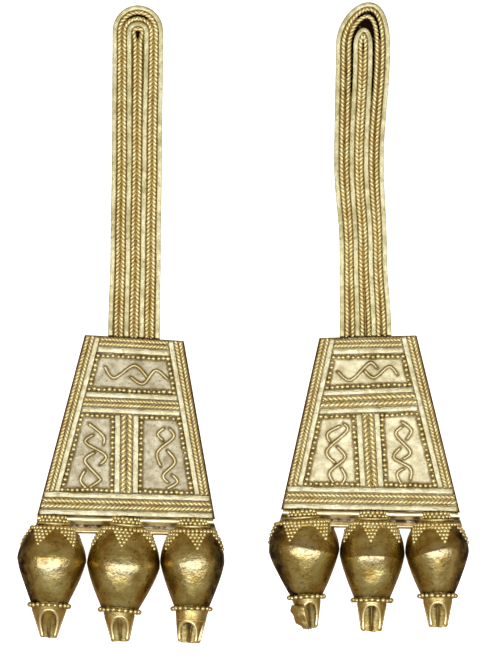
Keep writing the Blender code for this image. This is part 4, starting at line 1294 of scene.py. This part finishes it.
class Crown:
    """The open, tapering tube under one fruit: where it hangs and how far down it reaches."""

    def __init__(self, body):
        fruit = body.fruit
        self.body = body
        self.fruit = fruit
        self.length = fruit.crown_length
        self.lean = math.radians(fruit.crown_lean_deg)
        foot = body.neck + leaning(0.0, -body.foot - COLLAR_THICKNESS, body.lean)
        self.clearance = JOINT_GAP + fruit.crown_top_radius * abs(math.sin(self.lean - body.lean))
        self.seat = foot - np.array([0.0, self.clearance])
        self.notch_height = self.length - CROWN_CEILING - fruit.crown_band
        self.heart = np.array([*(self.seat + leaning(0.0, -self.length / 2, self.lean)), 0.0])

    def place(self, turn_deg, distance, wall=0.0):
        """A point of the tube, that far below its seat and inside its outer face."""
        taper = (self.fruit.crown_tip_radius - self.fruit.crown_top_radius) * distance / self.length
        radius = self.fruit.crown_top_radius + taper - wall
        turn = math.radians(turn_deg + self.fruit.crown_turn_deg)
        x, y, z = radius * math.sin(turn), -distance, radius * math.cos(turn)
        return np.array([*(self.seat + leaning(x, y, self.lean)), z])

    def low(self, turn_deg):
        """How far down the sheet reaches: to a worn point or to the round head of a notch."""
        turn = math.radians(turn_deg)
        wear = 1 + uneven(math.sin(turn) * 4, math.cos(turn) * 4, self.length * 9000)
        worn = CROWN_WEAR * wear
        return self.length - worn - (self.notch_height - worn) * notch_opening(turn_deg)

    def fill(self, turn_deg):
        """Thickness of the sheet, and of the old earth left inside behind the front notch."""
        back = max(0.0, -math.cos(math.radians(turn_deg)))
        return CROWN_WALL + CROWN_FILL * self.fruit.crown_tip_radius * back


def crown_sheet(crown, finishes):
    """Thin sheet cut with round-headed notches."""
    turns = crown_turns()
    shares = [r / (CROWN_ROWS - 1) for r in range(CROWN_ROWS)]
    top = -crown.clearance - 0.3 * COLLAR_THICKNESS
    points = [crown.place(t, top + (crown.low(t) - top) * share) for share in shares for t in turns]
    points += [
        crown.place(t, CROWN_CEILING + (crown.low(t) - CROWN_CEILING) * (1 - share), crown.fill(t))
        for share in shares for t in turns
    ]
    # Painted shade under the collar on the outside, and a faint painted shade inside.
    light_and_dirt = [0.6 * max(0.0, 1 - r / 4) for r in range(CROWN_ROWS) for _ in turns]
    light_and_dirt += [0.1] * (CROWN_ROWS * len(turns))
    work = Metalwork(crown.body.earring)
    work.add(points, capped_grid_faces(2 * CROWN_ROWS, len(turns)), light_and_dirt)
    work.dress(f"{crown.fruit.name}_crown", finishes["crown"], 40, welded=True)


def crown_rim(crown, finishes):
    """A wire that follows the points and notches, and one round the top of a deep crown's band."""
    work = Metalwork(crown.body.earring)
    turns = crown_turns()
    line = [crown.place(t, crown.low(t) - RIM_WIRE_RADIUS, CROWN_WALL / 2) for t in turns + turns[:1]]
    rim = resampled(np.array(line), 0.12 * MM)[:-1]
    way = np.roll(rim, -1, axis=0) - np.roll(rim, 1, axis=0)
    way /= np.linalg.norm(way, axis=1, keepdims=True)
    outward = rim - crown.heart
    outward -= way * np.sum(outward * way, axis=1, keepdims=True)
    outward /= np.linalg.norm(outward, axis=1, keepdims=True)
    around = circle(THIN_WIRE_SIDES)
    points = tube_points(rim, outward, np.cross(way, outward), RIM_WIRE_RADIUS, around)
    work.add(points, grid_faces(len(rim), THIN_WIRE_SIDES, close_rows=True), 0.0)
    band = crown.fruit.crown_band
    if band > 1.0 * MM:
        spots = [(turn, angle) for turn in range(0, 360, 6) for angle in around]
        points = [
            crown.place(turn, band + CROWN_BAND_WIRE * math.cos(angle), CROWN_BAND_WIRE * math.sin(angle))
            for turn, angle in spots
        ]
        work.add(points, grid_faces(60, THIN_WIRE_SIDES, close_rows=True), 0.1)
    work.make(f"{crown.fruit.name}_crown_rim", finishes["rim"])


def torn_flap(crown, finishes):
    """The torn and crumpled sheet that stands out from the crown's left side."""
    length = crown.length
    work = Metalwork(crown.body.earring)
    sheets = []
    # Painted shade on the flap's inner side, which faces the crown, and a little on its edges.
    for wall, dirt_and_shade, turned in ((0.0, 0.0, False), (FLAP_THICKNESS, 0.6, True)):
        grid = np.empty((FLAP_ROWS, FLAP_COLUMNS, 3))
        for r in range(FLAP_ROWS):
            for c in range(FLAP_COLUMNS):
                across = c / (FLAP_COLUMNS - 1)
                top = (0.1 + 0.16 * max(0.0, across - 0.45)) * length
                foot = (0.66 + 0.36 * across) * length
                distance = top + (foot - top) * r / (FLAP_ROWS - 1)
                crumple = uneven(across * 3.1, r * 0.16, 4.0) * 0.35 * MM
                proud = (0.28 + 0.5 * math.sin(math.pi * min(1.0, distance / length))) * MM + crumple
                grid[r, c] = crown.place(-122 + 96 * across, distance, wall - proud)
        work.add(grid, sheet_faces(FLAP_ROWS, FLAP_COLUMNS, turned), dirt_and_shade)
        sheets.append(grid)
    close_sheets(work, sheets, 0.2)
    work.make(f"{crown.fruit.name}_torn_flap", finishes["crown"], welded=True)


# Materials


def linear(hex_colour):
    """An sRGB hex value as linear colour with full alpha."""
    values = [int(hex_colour[i:i + 2], 16) / 255 for i in (1, 3, 5)]
    return tuple(v / 12.92 if v <= 0.04045 else ((v + 0.055) / 1.055) ** 2.4 for v in values) + (1.0,)


def add_node(tree, kind, settings=None, links=None):
    """One node with its settings by name and its inputs by socket name or number."""
    node = tree.nodes.new(kind)
    for key, value in (settings or {}).items():
        setattr(node, key, value)
    for socket, source in (links or {}).items():
        if isinstance(source, bpy.types.NodeSocket):
            tree.links.new(source, node.inputs[socket])
        else:
            node.inputs[socket].default_value = source
    return node


def aged_gold(name, pale, deep, drift_mm, shade_and_grime, strength, roughness):
    """An opaque metal of high gold content. Its colour drifts between two golds, painted shade and dirt
    darken it in patches, and its gloss is uneven and duller where they lie."""
    material = bpy.data.materials.new(name)
    material.use_nodes = True
    tree = material.node_tree
    shader = tree.nodes["Principled BSDF"]
    shader.inputs["Metallic"].default_value = 1.0
    run = add_node(tree, "ShaderNodeAttribute", {"attribute_name": "run"}).outputs["Vector"]
    drift = add_node(tree, "ShaderNodeTexNoise", links={
        "Vector": run, "Scale": 1000 / drift_mm, "Detail": 4.0, "Roughness": 0.6})
    spread = add_node(tree, "ShaderNodeMapRange", links={
        "Value": drift.outputs["Fac"], "From Min": 0.36, "From Max": 0.66})
    tone = add_node(tree, "ShaderNodeMix", {"data_type": "RGBA"}, {
        0: spread.outputs["Result"], 6: linear(pale), 7: linear(deep)})
    painted_light_and_dirt = add_node(tree, "ShaderNodeAttribute", {"attribute_name": "painted_light_and_dirt"})
    clots = add_node(tree, "ShaderNodeTexNoise", links={
        "Vector": run, "Scale": 1000 / 1.3, "Detail": 4.0, "Roughness": 0.65})
    patch = add_node(tree, "ShaderNodeMapRange", links={
        "Value": clots.outputs["Fac"], "From Min": 0.34, "From Max": 0.62, "To Min": 0.45})
    dirt_and_shade = add_node(tree, "ShaderNodeMath", {"operation": "MULTIPLY"}, {
        0: painted_light_and_dirt.outputs["Fac"], 1: patch.outputs["Result"]})
    amount = add_node(tree, "ShaderNodeMath", {"operation": "MULTIPLY", "use_clamp": True}, {
        0: dirt_and_shade.outputs[0], 1: strength})
    # Painted shade and dirt: each point's stored value mixes in the dark colour.
    colour = add_node(tree, "ShaderNodeMix", {"data_type": "RGBA"}, {
        0: amount.outputs[0], 6: tone.outputs[2], 7: linear(shade_and_grime)})
    tree.links.new(colour.outputs[2], shader.inputs["Base Color"])
    rough = add_node(tree, "ShaderNodeMapRange", links={
        "Value": clots.outputs["Fac"], "To Min": roughness * 0.7, "To Max": roughness * 1.3})
    rougher = add_node(tree, "ShaderNodeMath", {"operation": "MULTIPLY_ADD", "use_clamp": True}, {
        0: amount.outputs[0], 1: 0.2, 2: rough.outputs["Result"]})
    tree.links.new(rougher.outputs[0], shader.inputs["Roughness"])
    return material, tree, run


def tool_marks(tree, run, *marks):
    """Marks upon marks, each with its size along, across and through the piece, and its depth."""
    shader = tree.nodes["Principled BSDF"]
    for stretch_mm, depth_mm in marks:
        place = add_node(tree, "ShaderNodeVectorMath", {"operation": "MULTIPLY"}, {
            0: run, 1: tuple(1000 / size for size in stretch_mm)})
        relief = add_node(tree, "ShaderNodeTexNoise", links={
            "Vector": place.outputs[0], "Scale": 1.0, "Detail": 3.0, "Roughness": 0.6})
        bump = add_node(tree, "ShaderNodeBump", links={
            "Height": relief.outputs["Fac"], "Distance": depth_mm * MM, "Strength": 1.0})
        for before in shader.inputs["Normal"].links:
            tree.links.new(before.from_socket, bump.inputs["Normal"])
        tree.links.new(bump.outputs["Normal"], shader.inputs["Normal"])


def lay_over(tree, share, colour):
    """A colour laid over the colour made so far, by a share that changes from spot to spot."""
    base = tree.nodes["Principled BSDF"].inputs["Base Color"]
    mixed = add_node(tree, "ShaderNodeMix", {"data_type": "RGBA"}, {
        0: share.outputs["Result"], 6: base.links[0].from_socket, 7: linear(colour)})
    tree.links.new(mixed.outputs[2], base)


def specks(tree, run, size_mm, share, colour):
    """Small dark pits and spots of dirt."""
    fine = add_node(tree, "ShaderNodeTexNoise", links={
        "Vector": run, "Scale": 1000 / size_mm, "Detail": 2.0, "Roughness": 0.7})
    lay_over(tree, add_node(tree, "ShaderNodeMapRange", links={
        "Value": fine.outputs["Fac"], "From Min": 1 - share, "From Max": 1 - share + 0.12,
        "To Max": 0.7}), colour)


def paint_highlight(tree, colour):
    """A painted highlight: a paler tone where the point's stored value is below 0."""
    painted_light_and_dirt = add_node(tree, "ShaderNodeAttribute", {"attribute_name": "painted_light_and_dirt"})
    lay_over(tree, add_node(tree, "ShaderNodeMapRange", links={
        "Value": painted_light_and_dirt.outputs["Fac"], "From Min": -0.1, "From Max": -0.9, "To Max": 0.65}), colour)


def beaten_strip():
    """Strip beaten flat and drawn smooth. It is pale and satiny, with streaks that run along it,
    shallow dents and a few dark specks."""
    material, tree, run = aged_gold("beaten_gold_strip", "#d4cda8", "#ada174", 1.8, "#806a34", 0.75, 0.44)
    specks(tree, run, 0.4, 0.42, "#8c7642")
    tool_marks(tree, run, ((1.1, 0.6, 1.0), 0.09), ((2.2, 0.16, 1.0), 0.03))
    return material


def drawn_rail():
    """Thick flat wire of the strap, drawn and then worn by handling. It is duller than the strips,
    with long streaks and brown specks."""
    material, tree, run = aged_gold("drawn_gold_rail", "#d2ca9e", "#a49a68", 2.2, "#6c5826", 0.85, 0.44)
    specks(tree, run, 0.45, 0.43, "#7c6634")
    tool_marks(tree, run, ((1.6, 0.5, 1.0), 0.08), ((3.2, 0.15, 1.0), 0.03))
    return material


def twisted_wire():
    """Two wires twisted together. Their worn crowns are bright and rub to a soft gloss, and brown
    painted shade, partly dirt, in the grooves and under the strands draws the slanting strands."""
    material, tree, run = aged_gold("twisted_gold_wire", "#f6ebb6", "#dfc98a", 2.0, "#6c5220", 0.8, 0.42)
    tool_marks(tree, run, ((0.4, 0.4, 0.4), 0.012))
    return material


def granules():
    """Beads melted from snippets of wire. Each carries a small bright glint, and painted shade darkens its
    foot.
    """
    material, tree, run = aged_gold("gold_granules", "#eadfa8", "#cfb974", 1.5, "#6a4c1c", 0.9, 0.36)
    tool_marks(tree, run, ((0.35, 0.35, 0.35), 0.012))
    return material


def filigree_wire():
    """Thin round wire bent by hand. A line of light runs along its back, and painted shade darkens its
    underside and the sheet beside it.
    """
    material, tree, run = aged_gold("filigree_gold_wire", "#d4c898", "#b6a268", 2.0, "#6a4e20", 0.95, 0.4)
    tool_marks(tree, run, ((0.5, 0.5, 0.5), 0.01))
    return material


def planished_sheet():
    """Sheet hammered flat for the panels. It is greyer and duller than the wires, faintly uneven
    and speckled with dirt."""
    material, tree, run = aged_gold("planished_gold_sheet", "#c8c0a0", "#9e9272", 1.5, "#705a26", 0.85, 0.55)
    specks(tree, run, 0.42, 0.43, "#7a6840")
    tool_marks(tree, run, ((1.3, 1.3, 1.3), 0.05), ((0.3, 0.3, 0.3), 0.02))
    return material


def cleaned_sheet():
    """The same hammered sheet, cleaned harder. It is creamy and brighter, with fewer specks."""
    material, tree, run = aged_gold("cleaned_gold_sheet", "#dcd4ac", "#b2a57c", 1.8, "#76581c", 0.9, 0.52)
    specks(tree, run, 0.42, 0.4, "#8a7640")
    tool_marks(tree, run, ((1.4, 1.4, 1.4), 0.06), ((0.3, 0.3, 0.3), 0.02))
    return material


def bent_sheet():
    """Sheet bent over a former into a moulding. Its ridges are burnished, and painted shade browns its
    hollow.
    """
    material, tree, run = aged_gold("bent_gold_sheet", "#fff4cc", "#e2ca96", 3.0, "#3c2608", 1.5, 0.34)
    tool_marks(tree, run, ((1.8, 1.0, 1.0), 0.06), ((2.0, 0.2, 0.3), 0.012))
    return material


def raised_sheet():
    """Thin sheet raised into a hollow fruit. It is the glossiest gold here, deep in colour, with
    soft dents that break up its highlights, dark painted shade and reflection down its flanks and a painted
    highlight along its crest."""
    material, tree, run = aged_gold("raised_gold_sheet", "#c0af70", "#977a38", 2.6, "#1e1003", 1.1, 0.26)
    paint_highlight(tree, "#b2a98a")
    specks(tree, run, 0.55, 0.42, "#5a4018")
    tool_marks(tree, run, ((2.2, 2.2, 2.2), 0.2), ((0.4, 0.4, 0.4), 0.03))
    return material


def cut_sheet():
    """Sheet cut into a notched crown. It is worn pale outside, and painted shade browns it under the collar
    and faintly in its hollow.
    """
    material, tree, run = aged_gold("cut_gold_sheet", "#d6c484", "#a68a48", 1.6, "#5a4018", 0.8, 0.33)
    tool_marks(tree, run, ((1.2, 1.2, 1.2), 0.06), ((0.3, 0.3, 0.3), 0.014))
    return material


def rim_wire():
    """Wire soldered round the notches, rubbed bright because it stands proud."""
    material, tree, run = aged_gold("rim_gold_wire", "#fff2c4", "#ecd490", 2.4, "#4a3410", 0.7, 0.25)
    tool_marks(tree, run, ((0.5, 0.5, 0.5), 0.01))
    return material


def solder():
    """Solder that crept between the wires, so that the grooves look shallow. Its brown stands for the
    grooves' shade as well as old dirt.
    """
    material, tree, run = aged_gold("old_gold_solder", "#9c8048", "#6e5226", 1.6, "#33200a", 1.0, 0.5)
    tool_marks(tree, run, ((0.4, 0.4, 0.4), 0.05))
    return material


def shaded_backing():
    """Backing sheet behind the wires. Its front is painted all but black: painted shade, with some old dirt.
    """
    material, tree, run = aged_gold("shaded_gold_backing", "#b8a470", "#8e7846", 3.0, "#22130d", 1.6, 0.5)
    tool_marks(tree, run, ((0.8, 0.8, 0.8), 0.04))
    return material


def make_finishes():
    return {
        "strip": beaten_strip(),
        "rail": drawn_rail(),
        "twist": twisted_wire(),
        "bead": granules(),
        "filigree": filigree_wire(),
        "left_sheet": planished_sheet(),
        "right_sheet": cleaned_sheet(),
        "moulding": bent_sheet(),
        "fruit": raised_sheet(),
        "crown": cut_sheet(),
        "rim": rim_wire(),
        "solder": solder(),
        "backing": shaded_backing(),
    }


# Floor, light and camera


def set_stage():
    bm = bmesh.new()
    bmesh.ops.create_grid(bm, x_segments=1, y_segments=1, size=0.6)
    mesh = bpy.data.meshes.new("floor")
    bm.to_mesh(mesh)
    bm.free()
    material = bpy.data.materials.new("white_board")
    material.use_nodes = True
    shader = material.node_tree.nodes["Principled BSDF"]
    shader.inputs["Base Color"].default_value = (0.9, 0.9, 0.9, 1.0)
    shader.inputs["Roughness"].default_value = 0.9
    shader.inputs["Emission Color"].default_value = (1.0, 1.0, 1.0, 1.0)
    shader.inputs["Emission Strength"].default_value = 1.0
    mesh.materials.append(material)
    floor = put_in_scene("floor", mesh)
    floor.visible_glossy = False
    floor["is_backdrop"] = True


def set_softbox():
    """One wide, soft, slightly cool light above the fruits."""
    data = bpy.data.lights.new("overhead_softbox", "AREA")
    data.shape = "RECTANGLE"
    data.size, data.size_y = 2.0, 0.4
    data.energy = 7.0
    data.color = (1.0, 1.03, 1.22)
    light = put_in_scene("overhead_softbox", data)
    light.location = (0.0, -0.13, 0.9)
    light.rotation_euler = (-light.location).to_track_quat("-Z", "Y").to_euler()
    light.visible_camera = False


def set_room():
    """A wide lobe of light overhead, which fades to a dim, brownish room at the sides."""
    world = bpy.data.worlds.new("room")
    world.use_nodes = True
    tree = world.node_tree
    where = add_node(tree, "ShaderNodeTexCoord").outputs["Generated"]
    lean = math.radians(13)
    lobe = add_node(tree, "ShaderNodeVectorMath", {"operation": "DOT_PRODUCT"}, {
        0: where, 1: (0.0, -math.sin(lean), math.cos(lean))})
    ramp = add_node(tree, "ShaderNodeValToRGB", links={"Fac": lobe.outputs["Value"]})
    ramp.color_ramp.interpolation = "EASE"
    stops = (
        (0.0, (0.38, 0.27, 0.16)),
        (0.3, (0.50, 0.41, 0.29)),
        (0.62, (0.46, 0.44, 0.38)),
        (0.82, (0.56, 0.55, 0.50)),
        (0.94, (0.94, 0.96, 0.98)),
        (1.0, (1.06, 1.08, 1.12)),
    )
    for index, (position, colour) in enumerate(stops):
        if index < 2:
            stop = ramp.color_ramp.elements[index]
            stop.position = position
        else:
            stop = ramp.color_ramp.elements.new(position)
        stop.color = (*colour, 1.0)
    background = tree.nodes["Background"]
    tree.links.new(ramp.outputs["Color"], background.inputs["Color"])
    bpy.context.scene.world = world


def set_camera():
    """Straight above the pair, far enough away to see it almost without perspective."""
    data = bpy.data.cameras.new("camera")
    data.sensor_width = 36.0
    distance = 2.0
    data.lens = data.sensor_width * distance / (PHOTO_HEIGHT * PIXEL)
    data.clip_start = 0.05
    camera = put_in_scene("camera", data)
    right = (PHOTO_WIDTH / 2 - PAIR_MIDDLE_X) * PIXEL
    up = (PAIR_MIDDLE_Y - PHOTO_HEIGHT / 2) * PIXEL
    camera.location = (right, up, distance + 5 * MM)
    bpy.context.scene.camera = camera


def main():
    bpy.context.scene.view_settings.view_transform = "Standard"
    finishes = make_finishes()
    for earring in EARRINGS:
        strap_pieces(earring, finishes)
        solder_seams(earring, finishes)
        backing_sheet(earring, finishes)
        plate_sheet(earring, finishes)
        moulding(earring, finishes)
        band_pieces(earring, finishes)
        border_beads(earring, finishes)
        filigree_wires(earring, finishes)
        for fruit, girth in zip(earring.fruits, girth_points(earring)):
            body = Body(earring, fruit, girth)
            fruit_sheet(body, finishes)
            fruit_beads(body, finishes)
            crown = Crown(body)
            crown_sheet(crown, finishes)
            crown_rim(crown, finishes)
            if fruit.torn:
                torn_flap(crown, finishes)
    set_stage()
    set_softbox()
    set_room()
    set_camera()


main()
boxes = {"cad": CAD_BOX, "visual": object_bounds()}
{key: [list(corner) for corner in box] for key, box in boxes.items()}
